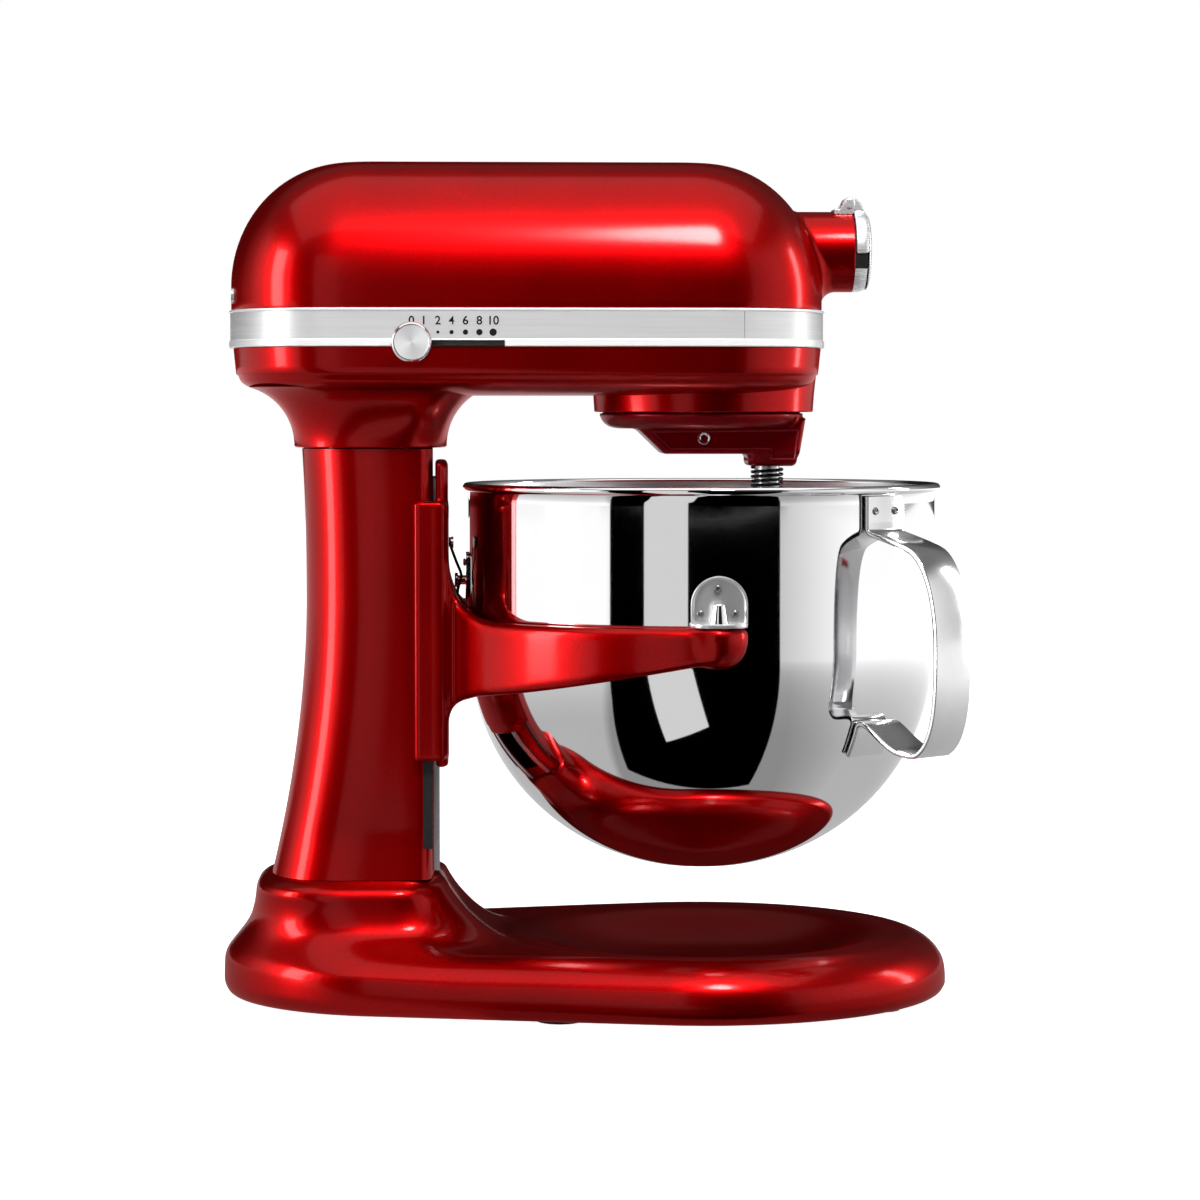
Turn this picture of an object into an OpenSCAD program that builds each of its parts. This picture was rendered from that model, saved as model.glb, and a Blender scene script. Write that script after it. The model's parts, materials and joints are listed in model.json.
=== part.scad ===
// Bowl-lift stand mixer. Millimetres, +Z up, +X towards the attachment hub, origin on the
// ground under the middle of the base.

/* [Base] */
// Half of the base's length
base_half = 183.3; // [150:0.1:220]
// X of the dish centre, which is the bowl's axis too
bowl_x = 58.3; // [40:0.1:80]
// Radius of the front end of the base in plan
base_front_r = 125; // [100:0.5:150]
// Radius of the rear end of the base in plan
base_rear_r = 92; // [60:0.5:110]
// Height of the rim round the dish
dish_rim_z = 32; // [25:0.5:45]
// Height of the dish's bottom
dish_low_z = 15; // [10:0.5:30]
// Radius of the dish at its rim
dish_r = 99; // [80:0.5:110]
// Wall of the hollow castings
base_wall = 5; // [3:0.1:8]
// Top of the pedestal block
block_z = 64; // [55:0.5:75]
// How far the pedestal reaches behind the column
block_back = 25.6; // [15:0.1:30]
// Half width of the pedestal block
block_half = 62; // [50:0.5:75]
// Rubber foot radius
foot_r = 11; // [7:0.5:16]
// Rubber foot height
foot_h = 3.4; // [2:0.1:6]

/* [Column] */
// Height of the seam between column and neck
seam_z = 276.8; // [250:0.1:300]
// X of the column's front face
col_front = -77.2; // [-90:0.1:-60]
// X of the column's rear at its slimmest
col_rear = -140.9; // [-160:0.1:-120]
// Half width of the column
col_half = 47; // [40:0.5:60]
// Column wall
col_wall = 4.5; // [3:0.1:8]
// Half width of the front slot
slot_half = 17; // [10:0.5:25]
// Radius of the cord's hole
cord_r = 3.6; // [2.5:0.1:5]
// X of the cord's hole, between the bolts
cord_x = -109; // [-120:0.5:-100]
// Height of the cord's hole
cord_z = 95; // [90:0.5:120]

/* [Head] */
// X of the head's rear end
head_rear = -177.8; // [-200:0.1:-150]
// X of the head's front end
head_front = 118.2; // [100:0.1:140]
// Height of the head's flat top
head_top = 418.7; // [380:0.1:450]
// Underside of the head
head_low = 303; // [290:0.1:320]
// Bottom edge of the trim band
band_low = 326.5; // [315:0.1:340]
// Top edge of the trim band
band_top = 345; // [340:0.1:360]
// Half width of the head
head_half = 79; // [65:0.5:95]
// Height of each polished edge strip
strip_h = 2.4; // [1:0.1:4]
// Head shell wall
head_wall = 3.6; // [2:0.1:6]

/* [Hub] */
// Height of the hub's axis
hub_z = 375.3; // [360:0.1:390]
// Hub radius
hub_r = 20.2; // [15:0.1:28]
// X of the hub's front face
hub_front = 134.3; // [120:0.1:150]
// Radius of the hub's bore
hub_bore_r = 17.5; // [12:0.1:22]
// Height of the cover's hinge
hinge_z = 399.4; // [390:0.1:410]
// X of the cover's hinge
hinge_x = 132.4; // [125:0.1:140]

/* [Drive] */
// Distance of the agitator shaft from the bowl's axis
orbit = 33.5; // [25:0.1:45]
// Teeth on the fixed internal ring gear
ring_teeth = 55; // [40:1:80]
// Teeth on the agitator pinion
pinion_teeth = 15; // [10:1:24]
// Teeth on the centre bevel gear
bevel_teeth = 30; // [24:1:40]
// Teeth on each small bevel pinion
bevel_pinion_teeth = 15; // [12:1:20]
// Teeth on the worm wheel
wheel_teeth = 40; // [30:1:60]
// Thread starts on the worm
worm_starts = 2; // [1:1:4]
// Module of the bevel gears and the worm
small_module = 1.25; // [1:0.05:2]
// Pitch radius of the worm
worm_r = 7.8; // [6:0.1:12]
// Side offset of motor and worm
motor_y = -28; // [-34:0.5:-24]
// Motor body radius
motor_r = 28; // [22:0.5:32]
// Agitator shaft radius
agitator_r = 6.35; // [5:0.05:8]
// Height of the agitator shaft's tip
agitator_tip = 226; // [220:0.5:245]
// Radius of the planetary's flange
planet_r = 51.8; // [45:0.1:56]
// Running clearance round a shaft
run_fit = 0.05; // [0.02:0.01:0.1]

/* [Bowl lift] */
// Turn of the lift lever in degrees
lever_turn = 100; // [80:1:120]
// X of the lift shaft
lift_x = -98; // [-105:0.5:-90]
// Height of the lift shaft
lift_z = 200; // [180:0.5:220]
// Crank radius
crank_r = 24.8; // [20:0.1:30]
// Lever length from shaft to knob
lever_len = 80; // [60:0.5:100]
// Radius of the lever's knob
lever_knob_r = 11; // [8:0.5:15]
// Inner radius of the bowl support's arms
arm_in = 122; // [120:0.1:126]
// Outer radius of the bowl support's arms
arm_out = 133; // [128:0.1:140]
// Height of the seats on the arm ends
seat_z = 192.5; // [180:0.1:200]

/* [Bowl] */
// Outer radius of the bowl
bowl_r = 117.7; // [100:0.1:130]
// Height of the rim's centre
rim_z = 257; // [240:0.5:270]
// Radius of the rolled rim
rim_r = 2.1; // [1.5:0.1:4]
// Height where the straight wall meets the round bottom
bowl_turn_z = 179; // [160:0.5:200]
// Height of the bowl's flat bottom
bowl_low = 66.7; // [60:0.1:75]
// Thickness of the bowl's steel
bowl_wall = 1.6; // [1:0.1:3]
// Direction of the handle from the side towards the front
handle_turn = 43.5; // [0:0.5:90]
// Width of the handle's strap
handle_w = 26; // [20:0.5:34]
// Thickness of the handle's strap
handle_t = 2.4; // [1.6:0.1:4]
// Reach of the handle from the bowl's axis
handle_reach = 163; // [150:0.5:175]

/* [Speed lever] */
// X of the knob at zero
knob_x = -87.5; // [-100:0.5:-70]
// Travel of the knob
knob_travel = 39; // [30:0.5:50]
// Height of the knob's axis
knob_z = 328.2; // [320:0.1:340]
// Radius of the knob
knob_r = 9.8; // [7:0.1:14]

/* [Hidden] */
$fn = 48;
gap = 0.4;

motor_x = col_front - 2.8;
tray_z = head_low + 5;
neck_h = head_low - seam_z;
tray_h = band_low - head_low;
pin_y = arm_in + 5;

red = [0.72, 0.02, 0.05];
dark_red = [0.45, 0.01, 0.03];
steel = [0.8, 0.8, 0.82];
grey = [0.55, 0.56, 0.58];
black = [0.05, 0.05, 0.06];
brass = [0.8, 0.65, 0.3];

// ---- shared shapes ------------------------------------------------------------------------------

function arch(a, n) = sign(a) * pow(abs(a), 2 / n);

// Closed plan outline from x0 to x1 with rounded ends of depth dr (rear) and df (front)
function plan_ring(x0, x1, w, dr, df, n, z, k = 56, nf = 0) = [for (i = [0:k - 1])
    let (t = 360 * (i + 0.5) / k, c = cos(t), s = sin(t), m = nf > 0 && c > 0 ? nf : n)
    [c > 0 ? x1 - df + df * arch(c, m) : x0 + dr + dr * arch(c, n), w * arch(s, m), z]];

// Solid through a list of rings; closed joins the last ring to the first
module skin(rings, closed = false, flip = false) {
    n = len(rings[0]);
    m = len(rings);
    sides = [for (j = [0:m - (closed ? 1 : 2)]) for (i = [0:n - 1])
        let (k = (j + 1) % m, a = j * n + i, b = j * n + (i + 1) % n, c = k * n + (i + 1) % n, d = k * n + i)
        each [[a, c, b], [a, d, c]]];
    caps = closed ? [] : [[for (i = [0:n - 1]) i], [for (i = [n - 1:-1:0]) (m - 1) * n + i]];
    faces = concat(sides, caps);
    polyhedron([for (r = rings) each r], flip ? [for (f = faces) [for (i = [len(f) - 1:-1:0]) f[i]]] : faces);
}

module at_bowl() translate([bowl_x, 0, 0]) children();
module along_x(x0, x1, r, y = 0, z = 0) translate([x0, y, z]) rotate([0, 90, 0]) cylinder(r = r, h = x1 - x0);
module along_y(y0, y1, r, x = 0, z = 0) translate([x, y0, z]) rotate([-90, 0, 0]) cylinder(r = r, h = y1 - y0);
module slab(a, b) translate(a) cube(b - a);
module side_plate(y0, y1, points) translate([0, y1, 0]) rotate([90, 0, 0])
    linear_extrude(y1 - y0) polygon(points);

// Gear outline: simple straight-flanked teeth, one tooth centred on +X
function gear_points(teeth, m, add, ded, thick = 0.9) = let (r = teeth * m / 2, p = 360 / teeth, h = p / 4 * thick)
    [for (i = [0:teeth - 1]) each [
        [(r - ded) * cos(i * p - h * 1.5), (r - ded) * sin(i * p - h * 1.5)],
        [(r + add) * cos(i * p - h * 0.5), (r + add) * sin(i * p - h * 0.5)],
        [(r + add) * cos(i * p + h * 0.5), (r + add) * sin(i * p + h * 0.5)],
        [(r - ded) * cos(i * p + h * 1.5), (r - ded) * sin(i * p + h * 1.5)]]];

// ---- base ---------------------------------------------------------------------------------------

rear_x = base_rear_r - base_half;
front_x = base_half - base_front_r;
base_span = front_x - rear_x;
tangent = acos((base_rear_r - base_front_r) / base_span);
shoulder = 24;
edge_z = 9;
base_k = 34;

// Outline of the base moved in by d
function base_ring(d, z) = concat(
    [for (i = [0:base_k]) let (t = -tangent + 2 * tangent * i / base_k)
        [front_x + (base_front_r - d) * cos(t), (base_front_r - d) * sin(t), z]],
    [for (i = [1:base_k / 2]) let (t = tangent + (360 - 2 * tangent) * i / (base_k / 2 + 1))
        [rear_x + (base_rear_r - d) * cos(t), (base_rear_r - d) * sin(t), z]]);

dish_drop = dish_rim_z - dish_low_z;
// Dish, and the scoop that runs on from it up the pedestal's front
scoop_top = bowl_x - col_front - 2;
module dish() at_bowl() rotate_extrude($fn = 120) polygon(concat(
    [for (q = [1, 0.985, 0.96, 0.93, 0.89, 0.84, 0.78, 0.7, 0.6, 0.48, 0.35, 0.2, 0])
        [dish_r * q, dish_low_z + dish_drop * pow(sin(90 * pow(q, 1.5)), 2.6)]], [[0, block_z + 20], [scoop_top, block_z + 20]],
    [for (q = [1:-0.1:0.1]) [dish_r + (scoop_top - dish_r) * q, dish_rim_z + (block_z + 1 - dish_rim_z) * pow(q, 2.4)]]));

// Pedestal outline: rear reach, front reach and half width grow downwards in a hollow curve
function block_ring(z) = let (u = (block_z - 5 - max(z, 21)) / 38, q = u > 0 ? u : 0,
        top = max(0, z - (block_z - 5)), e = 5 - sqrt(max(0, 25 - top * top)))
    plan_ring(col_rear - block_back - 14 * q * q + e, col_front + 10.2 + 44 * pow(q, 1.35) - e, block_half + 19 * pow(q, 2.2) - e,
        46 + 30 * q, 34 + 24 * q, 2.8 - 0.7 * q, z, 56);

bolt_at = [for (x = [col_rear + 14.9, col_front - 14.8]) for (y = [-30, 30]) [x, y]];
bolt_mid = (bolt_at[0][0] + bolt_at[3][0]) / 2;
foot_in = base_front_r - 22;
foot_at = [for (s = [-1, 1]) each [[front_x + foot_in * cos(36), s * foot_in * sin(36)],
    [rear_x + base_span / 2, s * ((base_front_r + base_rear_r) / 2 - 20.5)]], [rear_x - base_rear_r + 35.3, 0]];

module base_casting() color(red) difference() {
    union() {
        difference() {
            union() {
                skin(concat([base_ring(3.6, 1.2), base_ring(0.8, 4)], [for (a = [0:9:90])
                    base_ring(shoulder * (1 - cos(a)), edge_z + (dish_rim_z - edge_z) * sin(a))]));
                skin([for (z = [17, 21, 25.5, 30.5, 36, 42, 48, 54, block_z - 5, block_z - 2.8, block_z - 1.2,
                    block_z - 0.3, block_z]) block_ring(z)]);
            }
            dish();
            translate([0, 0, -2]) linear_extrude(dish_low_z - base_wall + 2)
                polygon([for (q = base_ring(9, 0)) [q[0], q[1]]]);
            translate([0, 0, -2]) linear_extrude(block_z - 4)
                polygon([for (q = plan_ring(col_rear - 15.1, col_front - 1.8, block_half - 10, 30, 24, 2.6, 0, 40)) [q[0], q[1]]]);
        }
        for (q = bolt_at) translate([q[0], q[1], 20]) cylinder(r = 8, h = block_z - 24);
        for (q = foot_at) translate([q[0], q[1], foot_h]) cylinder(r = 9, h = 9);
        slab([rear_x - 68.7, -7, foot_h + 5], [rear_x - 46.7, 7, 40]);
    }
    for (q = bolt_at) translate([q[0], q[1], 10]) cylinder(r = 3.3, h = block_z);
    for (q = foot_at) translate([q[0], q[1], 0]) cylinder(r = 2.5, h = 10);
}

module rubber_feet() color(black) for (p = foot_at) translate([p[0], p[1], 0]) {
    cylinder(r = foot_r, h = foot_h);
    cylinder(r = 2.45, h = 9);
}

module column_bolts() color(grey) for (p = bolt_at) translate([p[0], p[1], 0]) {
    translate([0, 0, 14]) cylinder(r = 5.5, h = 6);
    translate([0, 0, 15]) cylinder(r = 3, h = block_z + 1);
}

// ---- column -------------------------------------------------------------------------------------

col_waist = block_z + 139;
function col_back(z) = let (u = (z - col_waist) / 139) col_rear - (z < col_waist ? 17.6 * pow(-u, 1.9) : 9 * pow(u * 1.88, 2.4) / 4.6);
function col_side(z) = col_half + max(0, block_z + 20 - z) * 0.16;
function col_ring(z, t) = plan_ring(col_back(z) + t, col_front - t, col_side(z) - t, 44 - t, 16 - t * 0.6, 2.8, z,
    48, 6);

col_z = concat([for (z = [0, 8, 20, 30, 46, 68, 92, 120, 150, 176, 196]) block_z + (seam_z - block_z) * z / 212.8], [seam_z]);

slot_low = block_z + 12;
slot_top = seam_z - 14.8;
liner_in = col_half - 3;
liner_out = col_half - 0.8;

module column_casting() color(red) difference() {
    union() {
        skin(concat([for (z = col_z) col_ring(z, 0)], [for (i = [len(col_z) - 1:-1:0]) col_ring(col_z[i], col_wall)]),
            closed = true);
        for (p = bolt_at) translate([p[0], p[1], block_z]) cylinder(r = 8, h = 22);
        for (p = bolt_at) translate([p[0], p[1], seam_z - 20]) cylinder(r = 8, h = 20);
        for (z = [block_z, seam_z - 20]) for (s = [-1, 1])
            slab([col_rear + 22.9, s > 0 ? 34 : -col_half + 3, z], [col_front - 12.8, s > 0 ? col_half - 3 : -34, z + 6]);
    }
    for (p = bolt_at) translate([p[0], p[1], block_z - 1]) cylinder(r = 3.05, h = 20);
    for (p = bolt_at) translate([p[0], p[1], seam_z - 19]) cylinder(r = 3.05, h = 30);
    slab([col_front - 12, -slot_half, slot_low], [col_front + 5, slot_half, slot_top]);
    for (s = [-1, 1]) slab([col_front - 5.2, s > 0 ? liner_in : -60, slot_low + 3], [col_front + 5, s > 0 ? 60 : -liner_in, slot_top - 11]);
    along_y(38, 60, 9.05, lift_x, lift_z);
    along_y(38, 60, cord_r + 2.45, cord_x, cord_z);
}

module cord_bush() color(black) difference() {
    union() {
        along_y(col_half - 6, col_half + 3, cord_r + 2.4, cord_x, cord_z);
        along_y(col_half + 0.01, col_half + 4, cord_r + 5.4, cord_x, cord_z);
    }
    along_y(38, 60, cord_r, cord_x, cord_z);
}

// Guide rails in front of the column and black strips let into its corners
rail_in = slot_half + 2;
rail_out = rail_in + 8;
rail_t = 3;
module guide_rails() color(steel) for (s = [-1, 1])
    slab([col_front, s > 0 ? rail_in : -rail_out, block_z + 2], [col_front + rail_t, s > 0 ? rail_out : -rail_in, slot_top]);
module slot_liners() color(black) for (s = [-1, 1])
    slab([col_front - 5.2, s > 0 ? liner_in : -liner_out, slot_low + 3],
        [col_front - 0.6, s > 0 ? liner_out : -liner_in, slot_top - 11]);

module lever_bush() color(brass) difference() {
    along_y(39, col_half + 2, 9, lift_x, lift_z);
    along_y(30, 60, 6 + run_fit, lift_x, lift_z);
}

// ---- head ---------------------------------------------------------------------------------------

function dome(z, z0, b) = z <= z0 ? 1 : sqrt(max(0, 1 - pow((z - z0) / b, 2)));
function top_rear(z) = head_rear + 58 * (1 - dome(z, head_top - 62, 62));
function top_front(z) = head_front - 58.2 * (1 - dome(z, head_top - 67.7, 67.7));
function top_half(z) = head_half - 58 * (1 - dome(z, head_top - 64, 64));
function head_ring(z, t) = let (w = top_half(z) - t, f = max(0.35, w / head_half))
    plan_ring(top_rear(z) + t, top_front(z) - t, w, 56 * f, 60 * f, 2.35, z);
cover_z = concat([band_top], [for (a = [15, 27, 38, 48, 57, 65, 72, 79, 85, 90]) band_top + (head_top - band_top) * sin(a)]);

// Fillet under the hub: full depth below, none above
hub_flare = 8;
function flare_ring(x, a) = let (q = hub_flare / 2 * (1 - sin(a)))
    [for (t = [0:10:350]) [x, (hub_r + q) * cos(t), hub_z - q + (hub_r + q) * sin(t)]];
bearing_x = head_front - 21.7;
bearing_r = hub_bore_r - 1;
bore_end = hub_front - 17.3;
screw_x = hub_front - 9.3;

module head_cover() color(red) difference() {
    union() {
        skin(concat([for (i = [8:-1:0]) head_ring(cover_z[i], head_wall)], [for (z = cover_z) head_ring(z, 0)]));
        along_x(bearing_x - 1, hub_front, hub_r, 0, hub_z);
        skin(concat([flare_ring(head_front - 8, 0)], [for (a = [0:15:90]) flare_ring(head_front + 8 - 8.4 * cos(a), a)]));
    }
    along_x(bore_end, hub_front + 10, hub_bore_r, 0, hub_z);
    along_x(bearing_x - 10, hub_front - 4, hub_bore_r - 3.5, 0, hub_z);
    along_x(bearing_x - 10, bearing_x + 8.5, bearing_r + 0.02, 0, hub_z);
    along_y(0, 40, 2.5, screw_x, hub_z);
    for (s = [-1, 1]) along_x(head_rear - 12, head_rear + 28, 2.05, 28 * s, band_top + 7);
    for (s = [-1, 1]) along_x(head_rear - 12, head_rear + 2.8, 4.3, 28 * s, band_top + 7);
}

module cover_screws() color(grey) for (s = [-1, 1]) {
    along_x(head_rear + 1.2, head_rear + 2.8, 4, 28 * s, band_top + 7);
    along_x(head_rear + 2, head_rear + 12, 2, 28 * s, band_top + 7);
}

// Trim band: rings of constant section round the head
module band_loop(z0, z1, out, inn) skin([
    for (p = [[z0, -out], [z1, -out], [z1, inn], [z0, inn]])
        plan_ring(head_rear + p[1], head_front + 0.2 - p[1], head_half - p[1], 56 - p[1], 60 - p[1], 2.35, p[0])], closed = true);

module band_slot() slab([knob_x - 5, -head_half - 11, knob_z - 1.8], [knob_x + knob_travel + 6, -head_half + 19, knob_z + 1.2]);
band_split = head_front - 44.8;
band_z = [band_low - 5, band_top + 5];

module band_body() difference() {
    band_loop(band_low + strip_h, band_top - strip_h, 0.5, 3.2);
    band_slot();
}
module trim_band() color(steel) difference() {
    band_body();
    slab([band_split, -head_half - 20, band_z[0]], [head_front + 20, head_half + 20, band_z[1]]);
}
module band_front() color(steel) difference() {
    band_body();
    slab([head_rear - 20, -head_half - 20, band_z[0]], [band_split + 0.2, head_half + 20, band_z[1]]);
}
module band_strips() color(steel) difference() {
    union() {
        band_loop(band_low, band_low + strip_h, 1.1, 3.2);
        band_loop(band_top - strip_h, band_top, 1.1, 3.2);
    }
    band_slot();
}

// Lower casting: tray under the band, with its neck
step_z = head_low + 10;
function low_ring(z, t) = let (s = z > step_z ? (band_low - z) * 0.1 : (band_low - step_z) * 0.1 + (step_z - z) * 0.08 + 2.1,
        b = z < head_low + 8 ? 8 - sqrt(max(0, 64 - pow(head_low + 8 - z, 2))) : 0, e = s + b + t)
    plan_ring(head_rear + 1 + e, head_front - 0.4 - e, head_half - e, 56 - e, 60 - e, 2.35, z);
neck_r = 30;
function neck_ring(z, t) = let (h = max(0, z - seam_z - 1.2), e = neck_r - sqrt(max(1, neck_r * neck_r - h * h)))
    plan_ring(col_rear - 5.7 - e + t, col_front + 7 + e - t, col_half + 4 + e * 0.8 - t, 46, 30, 2.9, z, 48);

module head_lower() color(red) difference() {
    union() {
        skin([for (z = [head_low, head_low + 1.3, head_low + 3, head_low + 5, head_low + 7.5, step_z - 0.3, step_z + 0.5,
            step_z + 7, band_low]) low_ring(z, 0)]);
        skin([for (q = [0, 3.2, 7.2, 11.2, 15.2, 19.2, 22.7, 25.2, 27.8]) neck_ring(seam_z + (neck_h + 1.6) * q / 27.8, 0)]);
    }
    translate([0, 0, tray_z]) linear_extrude(tray_h) polygon([for (q = low_ring(head_low + 8, 5)) [q[0], q[1]]]);
    slab([col_rear + 8.9, -col_half + 9, seam_z + 5], [col_front - 2.8, col_half - 9, head_low - 1]);
    for (p = bolt_at) translate([p[0], p[1], head_low - 13]) cylinder(r = 6.5, h = 25);
    at_bowl() translate([0, 0, head_low - 8]) cylinder(r = 15.05, h = 30);
    for (p = bolt_at) translate([p[0], p[1], seam_z - 5]) cylinder(r = 3.2, h = 20);
    translate([bolt_mid, 0, seam_z - 5]) cylinder(r = 10, h = neck_h + 14);
}

module head_screws() color(grey) for (p = bolt_at) translate([p[0], p[1], 0]) {
    translate([0, 0, seam_z + 5]) cylinder(r = 5.5, h = 5);
    translate([0, 0, seam_z - 16]) cylinder(r = 3, h = 21.5);
}

// ---- gearcase -----------------------------------------------------------------------------------

module gearcase_skirt() color(red) difference() {
    skin([for (p = [[-8.4, 0.6], [-7.6, 0], [0, -0.4]])
        plan_ring(bowl_x - 54 + p[1], head_front - 3.6 - p[1] + (p[0] > -3 ? 0.6 : 0), 54.5 - p[1], 54, 56, 2.1, head_low + p[0])]);
    at_bowl() translate([0, 0, head_low - 13]) cylinder(r = 50.4, h = 20);
}

module ring_gear() color(grey) at_bowl() translate([0, 0, head_low - 7]) difference() {
    cylinder(r = 50.35, h = 7);
    translate([0, 0, -1]) linear_extrude(20)
        polygon(gear_points(ring_teeth, 2 * orbit / (ring_teeth - pinion_teeth), 1.6, 1.3, 1.08));
}

module centre_bearing() color(steel) at_bowl() difference() {
    translate([0, 0, head_low]) cylinder(r = 15, h = 12);
    translate([0, 0, head_low - 13]) cylinder(r = 7.9 + run_fit, h = 30);
}

// ---- drive --------------------------------------------------------------------------------------

bevel_r = bevel_teeth * small_module / 2;
bevel_pr = bevel_pinion_teeth * small_module / 2;
wheel_r = wheel_teeth * small_module / 2;
worm_z = hub_z - wheel_r - worm_r;

// Bevel gear about +Z with its apex at the origin, large end down
module bevel(teeth, mate, share = 0.36) {
    r = teeth * small_module / 2;
    d = mate * small_module / 2;
    slope = d / norm([r, d]);
    translate([0, 0, -d]) linear_extrude(d * share, scale = 1 - share)
        polygon(gear_points(teeth, small_module, 0.65 / slope, 0.95 / slope, 0.8));
}

module centre_shaft() color(grey) {
    at_bowl() {
        translate([0, 0, head_low - 28]) cylinder(r = 7.9, h = hub_z - bevel_pr - 2 - head_low + 28);
        translate([0, 0, hub_z]) bevel(bevel_teeth, bevel_pinion_teeth);
        translate([0, 0, hub_z - bevel_pr - 5]) cylinder(r = bevel_r - 3.4, h = 5.2);
    }
}

module wheel_bevel() color(grey) translate([bowl_x, 0, hub_z]) rotate([-90, 0, 0]) {
    rotate([0, 0, 90 - 3 * 360 / bevel_pinion_teeth]) bevel(bevel_pinion_teeth, bevel_teeth);
    translate([0, 0, -bevel_r - 1.5]) cylinder(r = bevel_pr - 1.5, h = 1.6);
    translate([0, 0, -46]) cylinder(r = 4, h = 46 - bevel_r + 0.5);
}

module worm_wheel() color(brass) translate([bowl_x, motor_y, hub_z]) rotate([-90, 0, 0]) difference() {
    translate([0, 0, -4]) linear_extrude(8)
        polygon(gear_points(wheel_teeth, small_module, 0.2, 1.3, 0.62));
    translate([0, 0, -5]) cylinder(r = 4, h = 10);
}

// Worm thread: a helical ridge swept from a small section
worm_lead = PI * small_module * worm_starts;
module worm_thread(start) {
    steps = 16;
    turns = 3;
    function sect(i) = let (a = 360 * i / steps + 360 * start / worm_starts, x = worm_lead * i / steps)
        [for (q = [[worm_r - 1.4, -1.0], [worm_r + 0.9, -0.42], [worm_r + 0.9, 0.42], [worm_r - 1.4, 1.0]])
            [x + q[1], q[0] * cos(a), q[0] * sin(a)]];
    skin([for (i = [0:steps * turns]) sect(i)], flip = true);
}

module armature() color(grey) translate([0, motor_y, worm_z]) {
    along_x(motor_x - 52, bowl_x + 34.7, 4);
    along_x(motor_x - 28, motor_x + 28, 19);
    along_x(motor_x + 34, motor_x + 46, 10);
    along_x(bowl_x - 15, bowl_x + 15, worm_r - 1.2);
    for (s = [0:worm_starts - 1])
        translate([bowl_x - worm_lead * 1.5, 0, 0]) worm_thread(s);
}

module motor_fan() color(black) translate([motor_x + 58, motor_y, worm_z]) rotate([0, 90, 0]) difference() {
    union() {
        cylinder(r = 8, h = 9);
        cylinder(r = 23, h = 1.6);
        for (i = [0:8]) rotate(i * 40) translate([7, -0.9, 0]) cube([15.5, 1.8, 9]);
    }
    translate([0, 0, -1]) cylinder(r = 4, h = 20);
}

module motor_stator() color(grey) difference() {
    along_x(motor_x - 30, motor_x + 30, motor_r, motor_y, worm_z);
    along_x(motor_x - 31, motor_x + 31, 19.6, motor_y, worm_z);
}

module motor_cradle() color(grey) for (x = [motor_x - 24, motor_x + 14]) difference() {
    slab([x, motor_y - 24, tray_z], [x + 10, motor_y + 24, worm_z - 8]);
    along_x(x - 1, x + 11, motor_r + 0.02, motor_y, worm_z);
}

bracket_x = [motor_x - 50, bowl_x - 34.3, bowl_x + 25.7];
module bearing_brackets() color(grey) {
    for (x = bracket_x) difference() {
        union() {
            slab([x, motor_y - 13, tray_z], [x + 7, motor_y + 13, worm_z]);
            along_x(x, x + 7, 13, motor_y, worm_z);
        }
        along_x(x - 1, x + 8, 9, motor_y, worm_z);
    }
    difference() {
        union() {
            slab([bowl_x - 8, -46, tray_z], [bowl_x + 8, -38.5, hub_z]);
            along_y(-46, -38.5, 8, bowl_x, hub_z);
        }
        along_y(-50, -30, 4 + run_fit, bowl_x, hub_z);
    }
}
module ball_bearings() color(steel) for (x = bracket_x) difference() {
    along_x(x, x + 7, 8.98, motor_y, worm_z);
    along_x(x - 1, x + 8, 4 + run_fit, motor_y, worm_z);
}
module brush_posts() color(black) for (s = [-1, 1]) difference() {
    slab([motor_x + 35.5, s > 0 ? motor_y + 10.4 : motor_y - 20, tray_z], [motor_x + 44.5, s > 0 ? motor_y + 20 : motor_y - 10.4, worm_z + 5]);
    slab([motor_x + 38, motor_y - 30, worm_z + 3.5], [motor_x + 42, motor_y + 30, worm_z + 9]);
}

module control_board() color([0.1, 0.35, 0.15]) translate([motor_x, 0, tray_z]) {
    slab([-60, 14, 6], [20, 62, 7.6]);
    for (x = [-54, 14]) for (y = [20, 56]) translate([x, y, 0]) cylinder(r = 3, h = 6.5);
}
module board_parts() color([0.2, 0.2, 0.25]) translate([motor_x, 0, tray_z + 7.6]) {
    translate([-45, 30, 0]) cylinder(r = 8, h = 22);
    translate([-24, 30, 0]) cylinder(r = 6, h = 16);
    slab([-16, 44, 0], [-4, 58, 11.4]);
    slab([-4, 20, 0], [12, 34, 7.4]);
    slab([-50, 44, 0], [-24, 58, 5.4]);
}

module hub_bearing() color(steel) difference() {
    along_x(bearing_x, bearing_x + 8, bearing_r, 0, hub_z);
    along_x(bearing_x - 1, bearing_x + 9, 10 + run_fit, 0, hub_z);
}

module hub_drive() color(grey) difference() {
    union() {
        translate([bowl_x, 0, hub_z]) rotate([0, -90, 0]) bevel(bevel_pinion_teeth, bevel_teeth);
        along_x(bowl_x + bevel_r - 1, bearing_x - 0.5, 6, 0, hub_z);
        along_x(bearing_x - 2.5, bore_end - 1, 10, 0, hub_z);
    }
    slab([bearing_x + 3.5, -4.8, hub_z - 4.8], [bore_end + 3, 4.8, hub_z + 4.8]);
}

// ---- planetary ----------------------------------------------------------------------------------

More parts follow.
